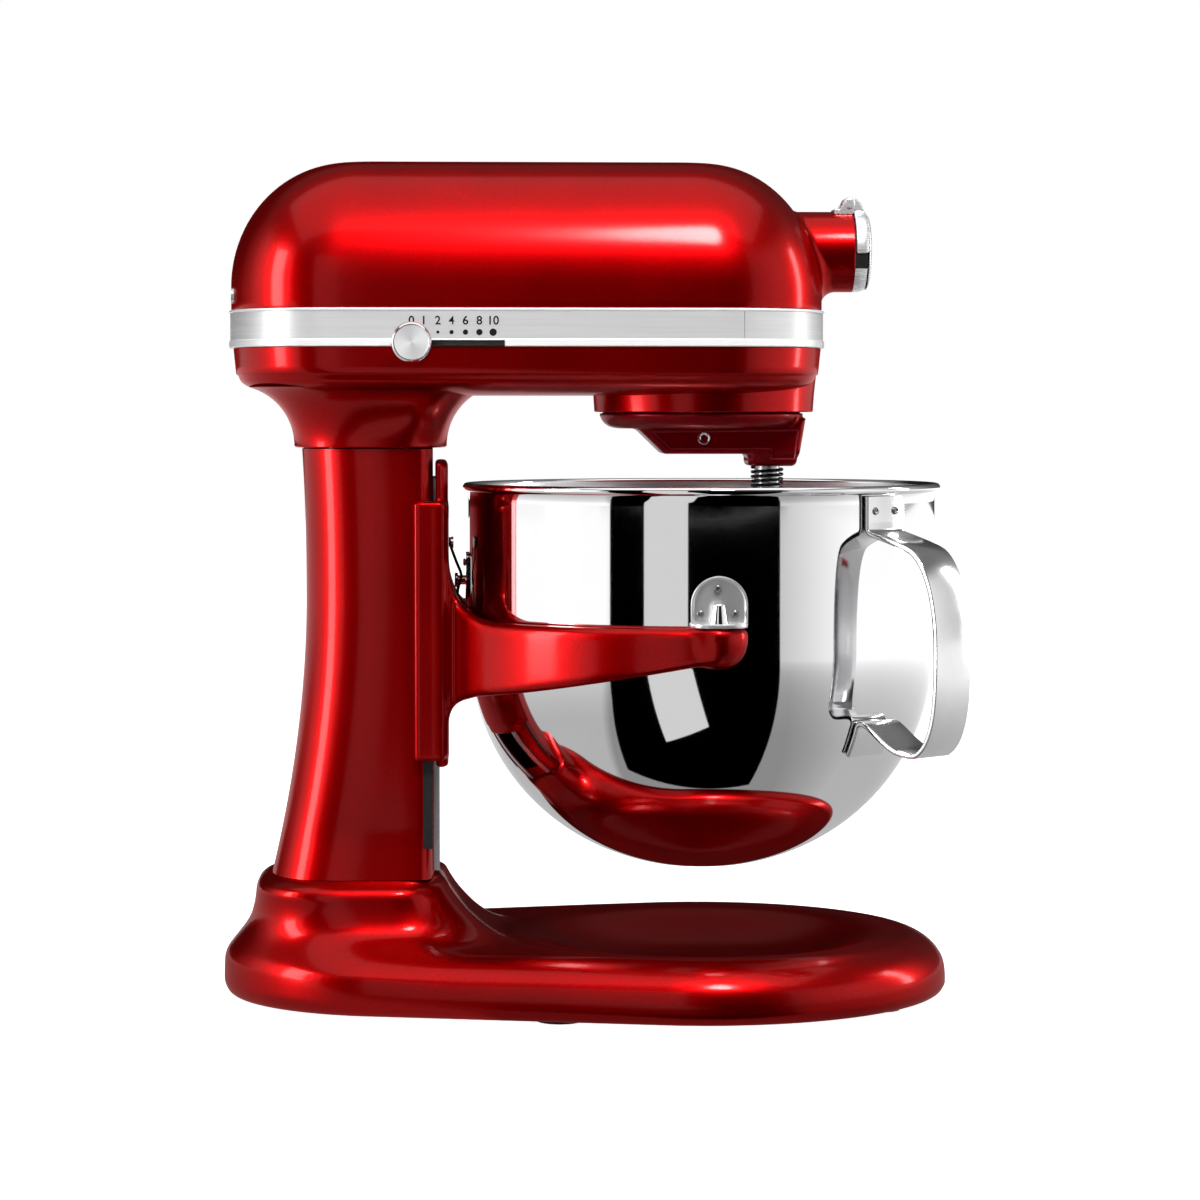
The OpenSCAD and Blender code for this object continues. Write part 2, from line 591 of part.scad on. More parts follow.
module planetary_housing() color(dark_red) translate([bowl_x, 0, head_low]) difference() {
    union() {
        rotate_extrude($fn = 96) polygon(concat([[0, -16.6], [planet_r - 6, -16.6]],
            [for (a = [15:15:90]) [planet_r - 6 + 6 * sin(a), -11 - 5.6 * cos(a)]], [[planet_r - 0.4, -8.8], [0, -8.8]]));
        side_plate(-20, 20, [[-33.6, -16], [-19.9, -29.3], [orbit - 11.3, -29.3], [orbit - 11.3, -32], [orbit + 14.1, -32],
            [orbit + 16.8, -16]]);
        translate([orbit, 0, -35.4]) cylinder(r1 = 12.2, r2 = 13, h = 1);
        translate([orbit, 0, -34.4]) cylinder(r = 13, h = 18);
    }
    for (s = [-1, 1]) translate([0, s > 0 ? 20 : -19, 0]) side_plate(-0.9, 0.1,
        [[-25.8, -18.2], [-16.8, -26.6], [orbit + 0.2, -26.6], [orbit + 0.2, -31.2], [orbit + 11.8, -31.2], [orbit + 13.8, -17.6]]);
    translate([0, 0, -28.5]) cylinder(r = 7.95, h = 30);
    translate([orbit, 0, -43]) cylinder(r = agitator_r + run_fit, h = 40);
    along_y(-30, -7, 3.25, 0, -21.4);
}

module set_screw() color(steel) difference() {
    along_y(-20.4, -8.2, 3.2, bowl_x, head_low - 21.4);
    along_y(-21, -18, 1.7, bowl_x, head_low - 21.4);
}

module agitator_shaft() color(steel) translate([bowl_x + orbit, 0, 0]) difference() {
    union() {
        translate([0, 0, agitator_tip + 0.6]) cylinder(r = agitator_r, h = head_low - agitator_tip - 1.2);
        translate([0, 0, agitator_tip]) cylinder(r1 = agitator_r - 0.6, r2 = agitator_r, h = 0.6);
        along_y(-10.5, 10.5, 2.2, 0, agitator_tip + 19);
    }
    translate([0, 0, agitator_tip + 14.5]) difference() {
        cylinder(r = agitator_r + 1, h = 0.6);
        translate([0, 0, -1]) cylinder(r = agitator_r - 0.4, h = 3);
    }
}

module agitator_pinion() color(grey) translate([bowl_x + orbit, 0, head_low - 6.6]) difference() {
    linear_extrude(5.6) polygon(gear_points(pinion_teeth, 2 * orbit / (ring_teeth - pinion_teeth), 1.2, 1.7, 0.8));
    translate([0, 0, -1]) cylinder(r = agitator_r, h = 10);
}

spring_r = 7.55;
spring_pitch = 2.35;
spring_turns = 7.5;
function coil_ring(i) = let (a = 36 * i, w = 0.75)
    [for (q = [[w, 0], [0, w], [-w, 0], [0, -w]])
        [(spring_r + q[0]) * cos(a), (spring_r + q[0]) * sin(a), agitator_tip + 23.2 + spring_pitch * i / 10 + q[1]]];
module agitator_spring() color(black) translate([bowl_x + orbit, 0, 0]) {
    skin([for (i = [0:10 * spring_turns]) coil_ring(i)], flip = true);
    difference() {
        translate([0, 0, agitator_tip + 21.4]) cylinder(r = 9.4, h = 1.5);
        translate([0, 0, agitator_tip + 21]) cylinder(r = agitator_r + 0.05, h = 3);
    }
}

// ---- hub front ----------------------------------------------------------------------------------

module hub_ring() color(black) difference() {
    along_x(hub_front, hub_front + 6.3, hub_r - 1.3, 0, hub_z);
    along_x(hub_front - 1, hub_front + 8, hub_bore_r + 0.2, 0, hub_z);
}
module hub_rim() color(steel) difference() {
    translate([hub_front, 0, hub_z]) rotate([0, 90, 0]) cylinder(r1 = hub_r, r2 = hub_r - 1, h = 6.2);
    along_x(hub_front - 1, hub_front + 11, hub_r - 1.28, 0, hub_z);
    slab([hub_front - 4, -30, hub_z - 8.9], [hub_front + 16, 30, hub_z + 30]);
}
module hinge_bracket() color(steel) difference() {
    union() {
        slab([hub_front - 9.6, -8, hub_z + 19], [hub_front - 6.7, 8, hub_z + 21.4]);
        for (s = [-1, 1]) slab([hub_front - 9.6, s > 0 ? 5 : -8, hub_z + 17], [hub_front, s > 0 ? 8 : -5, hub_z + 21.4]);
        for (s = [-1, 1]) difference() {
            side_plate(s > 0 ? 5 : -8, s > 0 ? 8 : -5, [[hub_front - 9.6, hub_z + 21], [hub_front - 1, hub_z + 21],
                [hinge_x + 3, hinge_z], [hinge_x - 3.2, hinge_z]]);
        }
        for (s = [-1, 1]) along_y(s > 0 ? 5 : -8, s > 0 ? 8 : -5, 3.2, hinge_x, hinge_z);
        along_y(-8.6, 8.6, 1.6, hinge_x, hinge_z);
        for (s = [-1, 1]) along_y(s > 0 ? 8 : -9, s > 0 ? 9 : -8, 2.3, hinge_x, hinge_z);
    }
    along_x(hub_front - 12, hub_front + 3, hub_r, 0, hub_z);
}
module hub_cover() color(steel) difference() {
    union() {
        translate([hub_front + 6.9, 0, hub_z]) rotate([0, 90, 0]) cylinder(r1 = hub_r - 0.8, r2 = hub_r - 2, h = 1.6);
        difference() {
            translate([hub_front + 0.5, 0, hub_z]) rotate([0, 90, 0]) cylinder(r1 = hub_r, r2 = hub_r - 0.8, h = 6.8);
            along_x(hub_front - 1, hub_front + 7, hub_r - 0.9, 0, hub_z);
            slab([hub_front - 4, -30, hub_z - 30], [hub_front + 7, 30, hub_z - 1.5]);
        }
        difference() {
            side_plate(-4.6, 4.6, [[hub_front + 0.7, hub_z + 18.6], [hub_front + 8.1, hub_z + 18],
                [hub_front + 5.1, hinge_z + 1], [hub_front + 1.3, hinge_z + 4],
                [hinge_x, hinge_z + 3.4], [hinge_x, hinge_z - 1.8], [hub_front + 0.5, hinge_z - 2]]);
            along_x(hub_front - 4, hub_front + 7, hub_r - 0.9, 0, hub_z);
        }
        along_y(-4.6, 4.6, 3.4, hinge_x, hinge_z);
    }
    along_y(-10, 10, 1.6 + run_fit, hinge_x, hinge_z);
}
module hub_thumb_screw() color(black) translate([screw_x, 0, hub_z]) {
    along_y(hub_bore_r + 0.5, hub_r + 7.8, 2.45);
    along_y(hub_r + 2.4, hub_r + 4.8, 5);
    along_y(hub_r + 4.8, hub_r + 14.8, 8);
    for (i = [0:5]) rotate([-90, 0, 0]) rotate(i * 60) translate([7.6, 0, hub_r + 5.8]) cylinder(r = 1.7, h = 8);
}

// ---- speed lever --------------------------------------------------------------------------------

module speed_knob() color(steel) difference() {
    union() {
        translate([knob_x, -head_half - 3.4, knob_z]) rotate([90, 0, 0]) cylinder(r = knob_r, h = 7.6);
        translate([knob_x, -head_half - 11, knob_z]) rotate([90, 0, 0]) cylinder(r1 = knob_r, r2 = knob_r - 1.2, h = 1.2);
        translate([knob_x, -head_half - 2.2, knob_z]) rotate([90, 0, 0]) cylinder(r1 = 5.4, r2 = knob_r, h = 1.3);
    }
    slab([knob_x - 3, -head_half - 9, knob_z - 1.2], [knob_x + 3, -head_half + 19, knob_z + 0.6]);
}
module speed_slider() color(black) translate([knob_x, -head_half, 0]) {
    slab([-3, -8.8, knob_z - 1.2], [3, 5, knob_z + 0.6]);
    slab([-9, 3.8, band_low + gap], [9, 6.8, band_top - 7]);
}
module slide_track() color(grey) translate([knob_x, -head_half, 0]) {
    slab([-14, 7.2, band_low], [knob_travel + 14, 8.5, band_top - 4]);
    slab([-14, 4.2, band_top - 7 + gap], [knob_travel + 14, 8, band_top - 4]);
}

// ---- bowl lift ----------------------------------------------------------------------------------

function arm_top(a) = seat_z + 30 * exp(-(a - 15) / 5);
function arm_bottom(a) = let (x = bowl_x - arm_out * cos(a)) seat_z - 37 + 0.184 * (x - root_x) - max(0, root_x - x) * 0.25;
function arm_section(a) = let (zt = arm_top(a), zb = arm_bottom(a), ro = arm_out - max(0, a - 55) * 0.03, ri = arm_in,
        b = 2.6, pts = [[ri, zb + 1.6], [ri + 1.6, zb], [ro - b * 1.2, zb], [ro - 0.5, zb + b * 0.7], [ro, zb + b * 1.8],
            [ro, zt - b * 1.8], [ro - 0.6, zt - b * 0.7], [ro - b * 1.3, zt], [ri + 1.4, zt], [ri, zt - 1.4]])
    [for (p = pts) [bowl_x - p[0] * cos(a), p[0] * sin(a), p[1]]];

plate_front = col_front + 7.4;
root_x = plate_front + 13.8;
plate_back = col_front + 1.2;
function round_front(w, r) = concat([[plate_back, -w]], [for (a = [-90:15:0]) [plate_front - r + r * cos(a), -w + r + r * sin(a)]],
    [for (a = [0:15:90]) [plate_front - r + r * cos(a), w - r + r * sin(a)]], [[plate_back, w]]);

module yoke_half() {
    skin([for (a = [13, 17, 19, 21, 23.5, 26.5, 30, 35, 42, 51, 61, 71, 81, 88]) arm_section(a)]);
    difference() {
        translate([bowl_x - 1, arm_in - 1, seat_z]) rotate_extrude() polygon([[0, -20.1], [8, -20.1], [11.5, -18.9],
            [13.6, -16.1], [14.4, -12.5], [14.4, -2], [13.6, -0.6], [12.4, 0], [0, 0]]);
        at_bowl() translate([0, 0, seat_z - 32]) cylinder(r = arm_in - 0.9, h = 50, $fn = 96);
    }
}

bracket_screws = [lift_z + 6, lift_z + 34];
latch_z = seat_z + 36.5;
module bowl_support() color(red) difference() {
    union() {
        yoke_half();
        mirror([0, 1, 0]) yoke_half();
        translate([0, 0, seat_z - 74]) linear_extrude(152) polygon(round_front(col_half - 6, 4.2));
        translate([0, 0, seat_z - 69.5]) linear_extrude(127.6) polygon(round_front(col_half + 6, 3.4));
        for (s = [-1, 1]) slab([col_front - 9.3, s > 0 ? col_half + 1.6 : -col_half - 6, seat_z - 69.5],
            [plate_back + 2, s > 0 ? col_half + 6 : -col_half - 1.6, seat_z + 58.1]);
        slab([col_front - 14.8, -5.5, lift_z - 4], [plate_back + 1, 5.5, lift_z + 44]);
    }
    for (s = [-1, 1]) slab([plate_back - 1, s > 0 ? rail_in - 0.5 : -rail_out - 0.5, seat_z - 92],
        [col_front + rail_t + gap, s > 0 ? rail_out + 0.5 : -rail_in + 0.5, seat_z + 88]);
    for (s = [-1, 1]) translate([bowl_x - 0.8, pin_y * s, seat_z - 10]) cylinder(r = 3, h = 12);
    for (z = bracket_screws) along_x(col_front - 15.8, plate_front - 3, 2.55, 0, z);
    along_x(plate_front - 5, plate_front + 1, 1.55, 0, latch_z);
}

module locating_pins() color(steel) for (s = [-1, 1]) translate([bowl_x - 0.8, pin_y * s, seat_z]) {
    translate([0, 0, -9.5]) cylinder(r = 2.95, h = 10);
    cylinder(r = 4.4, h = 2.6);
    translate([0, 0, 2.6]) cylinder(r1 = 4.4, r2 = 2.4, h = 8);
    translate([0, 0, 10.6]) sphere(r = 2.4);
}

slot_z = lift_z + crank_r * sin(lever_turn / 2);
module lift_bracket() color(grey) {
    difference() {
        slab([lift_x - crank_r - 9.7, -2, slot_z - 15], [col_front - 15.4, 2, slot_z + 15]);
        slab([lift_x - crank_r - 5.2, -4, slot_z - 5.6], [lift_x - crank_r * cos(lever_turn / 2) + 5.2, 4, slot_z + 5.6]);
    }
    slab([col_front - 17.4, -5.5, lift_z - 2], [col_front - 14.8, 5.5, lift_z + 42]);
    for (z = bracket_screws) along_x(col_front - 16.2, col_front - 2.8, 2.5, 0, z);
}

module lift_shaft() color(grey) {
    along_y(6.5, col_half + 15, 6, lift_x, lift_z);
    difference() {
        translate([lift_x, 0, lift_z]) rotate([0, lever_turn / 2, 0]) {
            slab([-crank_r, 6.5, -6], [0, 12.5, 6]);
            along_y(6.5, 12.5, 7, -crank_r, 0);
            along_y(6.5, 12.5, 10, 0, 0);
            along_y(-2.4, 8, 4, -crank_r, 0);
        }
    }
}

module lift_lever() color(steel) difference() {
    union() {
        along_y(col_half + 4, col_half + 16, 11, lift_x, lift_z);
        side_plate(col_half + 6, col_half + 14, [[lift_x - 9.5, lift_z + 4], [lift_x + 9.5, lift_z + 4], [lift_x + 5.5, lift_z + lever_len],
            [lift_x - 5.5, lift_z + lever_len]]);
        along_y(col_half + 6, col_half + 14, 6.8, lift_x, lift_z + lever_len);
        along_y(col_half + 13, col_half + 27, 3.4, lift_x, lift_z + lever_len);
    }
    along_y(col_half - 2, col_half + 15.02, 6.01, lift_x, lift_z);
}
module lever_knob() color(black) translate([lift_x, col_half + 14.2, lift_z + lever_len]) rotate([-90, 0, 0]) difference() {
    rotate_extrude() polygon([[0, 0], [6, 0], [7.5, 1.5], [8.6, 5], [10.4, 9.5], [lever_knob_r, 14], [10.6, 18.5], [8.8, 22],
        [5.5, 24.4], [0, 25]]);
    translate([0, 0, -1]) cylinder(r = 3.42, h = 13.9);
}

module spring_latch() color(black) translate([plate_front, 0, latch_z]) difference() {
    union() {
        for (s = [-1, 1]) side_plate(s > 0 ? 4.4 : -5.8, s > 0 ? 5.8 : -4.4, [[0, 2.6], [1.2, 2.6], [1.4, -3],
            [7.6, -16.6], [4.2, -34.4], [3, -34.2], [6.2, -16.6], [0, -3.4]]);
        slab([0, -5.8, -2.2], [1.4, 5.8, 2.6]);
    }
    along_x(-1, 3, 1.6);
}
module latch_screw() color(steel) translate([plate_front, 0, latch_z]) {
    along_x(1.4, 2.9, 2.9);
    along_x(-4.7, 1.8, 1.5);
}

// ---- bowl ---------------------------------------------------------------------------------------

bowl_b = bowl_turn_z - bowl_low + 2.2;
function bowl_at(z, r, b) = z >= bowl_turn_z ? r : r * pow(max(0, 1 - pow((bowl_turn_z - z) / b, 2.06)), 1 / 2.06);
bowl_steps = 26;
function bowl_curve(r, b, low) = [for (i = [0:bowl_steps]) let (a = 90 * (1 - i / bowl_steps),
    z = bowl_turn_z - (bowl_turn_z - low) * sin(a)) [bowl_at(z, r, b), z]];

module bowl() color(steel) at_bowl() difference() {
    rotate_extrude($fn = 96) polygon(concat([[0, bowl_low]], bowl_curve(bowl_r, bowl_b, bowl_low),
        [[bowl_r, rim_z - 1.6], [bowl_r + 0.9, rim_z - 1.9], [bowl_r + 1.9, rim_z - 1.4], [bowl_r + 2.7, rim_z - 0.2], [bowl_r + 2.8, rim_z + 0.6],
            [bowl_r + 2.2, rim_z + 1.6], [bowl_r + 1.2, rim_z + rim_r], [bowl_r - 0.2, rim_z + rim_r], [bowl_r - 1.2, rim_z + 1.5]],
        [for (i = [bowl_steps:-1:0]) let (p = bowl_curve(bowl_r - bowl_wall, bowl_b - bowl_wall, bowl_low + bowl_wall)[i])
            i == bowl_steps ? [bowl_r - bowl_wall, bowl_turn_z] : p], [[0, bowl_low + bowl_wall]]));
}

// Strap path in (radius, height), outer side
function arc2(cx, cz, r, a0, a1, n) = [for (i = [0:n]) let (a = a0 + (a1 - a0) * i / n) [cx + r * cos(a), cz + r * sin(a)]];
handle_mid_r = bowl_r + 20.3;
handle_mid_z = bowl_turn_z + 0.8;
handle_top = rim_z - 3;
handle_half = 52.2;
function loop_point(a) = let (n = a > 0 ? 2.2 : 3)
    [handle_mid_r + (handle_reach - handle_mid_r) * pow(cos(a), 2 / n), handle_mid_z + handle_half * arch(sin(a), n)];
function wall_at(z) = bowl_at(z, bowl_r, bowl_b) + 0.25 + handle_t;
handle_path = concat([[wall_at(handle_top), handle_top], [wall_at(handle_top), handle_top - 14.8]],
    arc2(wall_at(handle_top) + 2, handle_top - 15, 2, 195, 255, 3),
    [for (a = [82, 70, 60, 50, 40, 30, 20, 10, 0, -10, -20, -30, -40, -50, -60, -68, -76]) loop_point(a)],
    [for (p = [[20.5, -49.3], [12.1, -45], [3.6, -38.9], [-0.7, -36.4], [-3.1, -36.6]]) [bowl_r + p[0], bowl_turn_z + p[1]]],
    [for (d = [40, 46, 51.5]) [wall_at(bowl_turn_z - d), bowl_turn_z - d]]);
function thick(path, t) = let (n = len(path)) concat(path, [for (i = [n - 1:-1:0])
    let (a = path[max(0, i - 1)], b = path[min(n - 1, i + 1)], d = (b - a) / norm(b - a)) path[i] + t * [d[1], -d[0]]]);

module handle_frame() at_bowl() rotate([0, 0, handle_turn - 90]) children();

module bowl_handle() color(steel) handle_frame() difference() {
    rotate([90, 0, 0]) translate([0, 0, -handle_w / 2]) linear_extrude(handle_w) polygon(thick(handle_path, handle_t));
    for (s = [-1, 1]) translate([bowl_r - 5, 7.5 * s, rim_z - 10]) rotate([0, 90, 0]) cylinder(r = 1.3, h = 12);
}

// Side brackets: plate against the wall and a shelf that sits on the arm end
side_rivets = [[-9, 6.5], [7.4, 6.5], [-0.8, 18.5]];
rear_rivets = [seat_z + 6.5, seat_z + 26.5];
module wall_shell(t) at_bowl() difference() {
    cylinder(r = bowl_r + t, h = rim_z, $fn = 96);
    translate([0, 0, -1]) cylinder(r = bowl_r + 0.05, h = rim_z + 2, $fn = 96);
}
module side_bracket() difference() {
    union() {
        intersection() {
            wall_shell(2);
            union() {
                slab([bowl_x - 14.3, bowl_r - 18, seat_z + gap], [bowl_x + 12.7, bowl_r + 12, seat_z + 11]);
                along_y(bowl_r - 18, bowl_r + 12, 13.5, bowl_x - 0.8, seat_z + 11);
            }
        }
        difference() {
            slab([bowl_x - 14.3, bowl_r - 10, seat_z + gap], [bowl_x + 12.7, pin_y + 7.6, seat_z + gap + 2]);
            at_bowl() cylinder(r = bowl_r + 0.05, h = rim_z, $fn = 96);
        }
    }
    translate([bowl_x - 0.8, pin_y, seat_z - 10]) cylinder(r = 4.8, h = 30);
    for (p = side_rivets) along_y(bowl_r - 18, bowl_r + 12, 1.25, bowl_x + p[0], seat_z + p[1]);
}
module side_brackets() color(steel) {
    side_bracket();
    mirror([0, 1, 0]) side_bracket();
}

module rear_bracket() color(steel) difference() {
    union() {
        intersection() {
            wall_shell(1.6);
            slab([bowl_x - bowl_r - 10.6, -11, seat_z + 1.5], [bowl_x - bowl_r + 29.4, 11, seat_z + 31.5]);
        }
        translate([bowl_x - bowl_r, 0, seat_z + 17.5]) {
            along_x(-6, -1, 2.4);
            along_x(-7, -5.2, 3.7);
        }
    }
    for (z = rear_rivets) along_x(bowl_x - bowl_r - 10, bowl_x - bowl_r + 9, 1.25, 0, z);
}

module rivet() {
    cylinder(r = 1.2, h = 2.9);
    translate([0, 0, 2.5]) cylinder(r = 1.9, h = 0.8);
}
module bowl_rivets() color(grey) {
    for (m = [0, 1]) mirror([0, m, 0]) for (p = side_rivets)
        translate([bowl_x + p[0], sqrt(pow(bowl_r, 2) - pow(p[0], 2)) + 0.1, seat_z + p[1]]) rotate([-90, 0, 0]) rivet();
    for (z = rear_rivets) translate([bowl_x - bowl_r - 0.1, 0, z]) rotate([0, -90, 0]) rivet();
    handle_frame() for (s = [-1, 1]) translate([bowl_r + 0.25, 7.5 * s, rim_z - 10]) rotate([0, 90, 0]) rivet();
}

// ---- which piece to show ------------------------------------------------------------------------

base_casting();
rubber_feet();
column_bolts();
column_casting();
cord_bush();
slot_liners();
guide_rails();
lever_bush();
head_lower();
head_screws();
gearcase_skirt();
ring_gear();
centre_bearing();
trim_band();
band_strips();
band_front();
head_cover();
cover_screws();
hub_rim();
hub_ring();
hinge_bracket();
motor_stator();
motor_cradle();
bearing_brackets();
ball_bearings();
brush_posts();
control_board();
board_parts();
slide_track();
hub_bearing();
armature();
motor_fan();
worm_wheel();
wheel_bevel();
centre_shaft();
planetary_housing();
set_screw();
agitator_shaft();
agitator_pinion();
agitator_spring();
hub_drive();
hub_cover();
hub_thumb_screw();
speed_knob();
speed_slider();
bowl_support();
locating_pins();
lift_bracket();
spring_latch();
latch_screw();
lift_shaft();
lift_lever();
lever_knob();
bowl();
bowl_handle();
side_brackets();
rear_bracket();
bowl_rivets();
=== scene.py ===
"""Dressed model of a bowl-lift stand mixer: smooth castings, steel bowl, trim and scale."""
import json
from math import atan2, copysign, cos, hypot, pi, radians, sin, sqrt

import bmesh
import bpy
import numpy as np
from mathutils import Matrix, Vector


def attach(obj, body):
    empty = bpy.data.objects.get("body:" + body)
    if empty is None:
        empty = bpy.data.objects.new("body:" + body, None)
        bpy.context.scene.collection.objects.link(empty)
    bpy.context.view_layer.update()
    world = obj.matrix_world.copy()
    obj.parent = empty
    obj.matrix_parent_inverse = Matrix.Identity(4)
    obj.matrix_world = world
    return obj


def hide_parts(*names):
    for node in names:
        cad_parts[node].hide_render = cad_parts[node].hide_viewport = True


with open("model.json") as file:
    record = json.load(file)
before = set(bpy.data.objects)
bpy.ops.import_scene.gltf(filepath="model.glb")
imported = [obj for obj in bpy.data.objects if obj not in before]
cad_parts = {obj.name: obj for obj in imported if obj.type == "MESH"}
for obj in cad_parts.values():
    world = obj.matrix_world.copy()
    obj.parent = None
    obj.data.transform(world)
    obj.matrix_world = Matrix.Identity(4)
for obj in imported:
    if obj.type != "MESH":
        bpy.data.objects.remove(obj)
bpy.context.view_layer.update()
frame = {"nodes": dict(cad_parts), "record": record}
nodes = frame["nodes"]
MM = 0.001

# ---- sizes shared by the castings, in millimetres ----
BOWL_X = 58.3
BASE_REAR_X, BASE_REAR_R, BASE_FRONT_R = -91.3, 92.0, 125.0
DISH_R, DISH_LOW, DISH_RIM = 99.0, 15.0, 32.0
BLOCK_Z, SEAM_Z = 64.0, 276.8
COL_FRONT = -77.2
HEAD_REAR, HEAD_FRONT, HEAD_HALF = -177.8, 118.2, 79.0
HEAD_REAR_R, HEAD_FRONT_R, HEAD_ARCH, CROWN = 56.0, 60.0, 2.35, 58
HEAD_TOP, HEAD_LOW = 418.7, 303.0
BAND_LOW, BAND_TOP, LOW_STRIP, TOP_STRIP = 326.5, 345.0, 3.7, 1.3
HUB_Z, HUB_R, HUB_FRONT = 375.3, 20.2, 134.3
KNOB_X, KNOB_Z, KNOB_R = -87.5, 328.2, 9.8
BOWL_R, RIM_Z, BOWL_WALL = 117.7, 257.0, 1.6
BOWL_LOW, BOWL_CURVE_Z, BOWL_DEPTH, BOWL_ARCH = 66.7, 179, 114.5, 2.06
ARM_IN, ARM_OUT, SEAT_Z = 122.0, 133.0, 192.5
PLATE_FRONT, PLATE_BACK = -69.8, -76.0


# ---- making meshes ----
def linked(name, data):
    """A new object in the scene."""
    made = bpy.data.objects.new(name, data)
    bpy.context.scene.collection.objects.link(made)
    return made


def piece(name, skin, body, material, replaced=(), crease=32, *, slot):
    """A named piece from a skin, which is points in millimetres and faces, riding on a body."""
    verts, faces = skin
    mesh = bpy.data.meshes.new(name)
    mesh.from_pydata([tuple(float(c) * MM for c in v) for v in verts], [], [tuple(map(int, f)) for f in faces])
    mesh.validate()
    work = bmesh.new()
    work.from_mesh(mesh)
    bmesh.ops.recalc_face_normals(work, faces=work.faces)
    work.to_mesh(mesh)
    work.free()
    mesh.shade_smooth()
    if crease < 180:
        mesh.set_sharp_from_angle(angle=radians(crease))
    made = linked(name, mesh)
    mesh.materials.append(material)
    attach(made, body)
    if replaced:
        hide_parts(*replaced)
    return made


def loft(rings, closed=False):
    """Skin through rings that all have the same number of points, with flat ends unless closed."""
    count, total = len(rings[0]), len(rings)
    faces = []
    for j in range(total if closed else total - 1):
        here, there = j * count, (j + 1) % total * count
        for i in range(count):
            n = (i + 1) % count
            faces.append((here + i, here + n, there + n, there + i))
    if not closed:
        faces += [tuple(range(count))[::-1], tuple(range((total - 1) * count, total * count))]
    return [p for ring in rings for p in ring], faces


def spin(profile, centre=(0, 0, 0), axis="z", steps=128):
    """Turned shape from (radius, height) points; points on the axis close it."""
    order = (2, 0, 1) if axis == "x" else (0, 1, 2)
    n = len(profile)
    verts, faces = [], []
    for j in range(steps):
        a, here, there = 2 * pi * j / steps, j * n, (j + 1) % steps * n
        for r, h in profile:
            p = (r * cos(a), r * sin(a), h)
            verts.append(tuple(p[order[c]] + centre[c] for c in range(3)))
        faces += [(here + i, there + i, there + i + 1, here + i + 1) for i in range(n - 1)]
    return weld(verts, faces)


def weld(verts, faces, tol=1e-4):
    """The same skin with points that lie together joined into one."""
    seen, index, kept, out = {}, [], [], []
    for v in verts:
        key = tuple(round(c / tol) for c in v)
        if key not in seen:
            seen[key] = len(kept)
            kept.append(v)
        index.append(seen[key])
    for face in faces:
        ids = [index[i] for i in face]
        ids = [i for i, after in zip(ids, ids[1:] + ids[:1]) if i != after]
        if len(ids) > 2:
            out.append(tuple(ids))
    return kept, out


def fused(field, low, high, pitch):
    """Skin of the solid where field(x, y, z) is below nought, sampled on a grid and pulled on to it."""
    axes = [np.arange(low[i] - pitch * 1.5, high[i] + pitch * 2, pitch) for i in range(3)]
    value = field(*np.meshgrid(*axes, indexing="ij"))
    inside = value < 0
    nx, ny, nz = value.shape
    count = sum(inside[i:nx - 1 + i, j:ny - 1 + j, k:nz - 1 + k].astype(int)
                for i in (0, 1) for j in (0, 1) for k in (0, 1))
    live = (count > 0) & (count < 8)
    number = -np.ones(live.shape, int)
    number[live] = np.arange(live.sum())
    total, hits = np.zeros((live.sum(), 3)), np.zeros(live.sum())
    base = np.argwhere(live)
    unit = np.eye(3, dtype=int)
    faces = []
    for axis in range(3):
        one, two = sorted({0, 1, 2} - {axis})
        for start in (u * unit[one] + v * unit[two] for u in (0, 1) for v in (0, 1)):
            va, vb = (value[tuple((base + at).T)] for at in (start, start + unit[axis]))
            cross = (va < 0) != (vb < 0)
            t = np.where(cross, va / np.where(cross, va - vb, 1), 0)
            total += np.where(cross[:, None], start + t[:, None] * unit[axis], 0)
            hits += cross
        one, two = (axis + 1) % 3, (axis + 2) % 3
        at = np.argwhere(np.diff(inside, axis=axis))
        beside = at[:, [one, two]]
        at = at[((beside > 0) & (beside < np.array(value.shape)[[one, two]] - 1)).all(1)]
        faces.append(np.stack([number[tuple((at - a * unit[one] - b * unit[two]).T)]
                               for a, b in ((1, 1), (0, 1), (0, 0), (1, 0))], 1))
    points = np.stack([axes[c][0] + (base[:, c] + total[:, c] / hits) * pitch for c in range(3)], 1)
    probe, most, tiny = 0.02, 0.4 * pitch, 1e-9
    for _ in range(4):
        f0 = field(*points.T)
        slope = np.stack([(field(*(points + probe * side).T) - f0) / probe for side in np.eye(3)], 1)
        move = -(f0 / ((slope ** 2).sum(1) + tiny))[:, None] * slope
        length = np.linalg.norm(move, axis=1) + tiny
        points = points + move * np.minimum(1, most / length)[:, None]
    return points.tolist(), np.concatenate(faces).tolist()


def smax(a, b, r):
    """Larger of two fields, rounded over r where they meet."""
    h = np.maximum(r - np.abs(a - b), 0) / r
    return np.maximum(a, b) + h * h * r * 0.25


def smin(a, b, r):
    """Smaller of two fields, filleted over r where they meet."""
    return -smax(-a, -b, r)


def block_field(x, y, z, low, high, r):
    """Box with all its edges rounded by r."""
    q = [np.abs(p - (a + b) / 2) - ((b - a) / 2 - r) for p, a, b in zip((x, y, z), low, high)]
    out = np.sqrt(sum(np.maximum(c, 0) ** 2 for c in q))
    return out + np.minimum(np.maximum(np.maximum(q[0], q[1]), q[2]), 0) - r


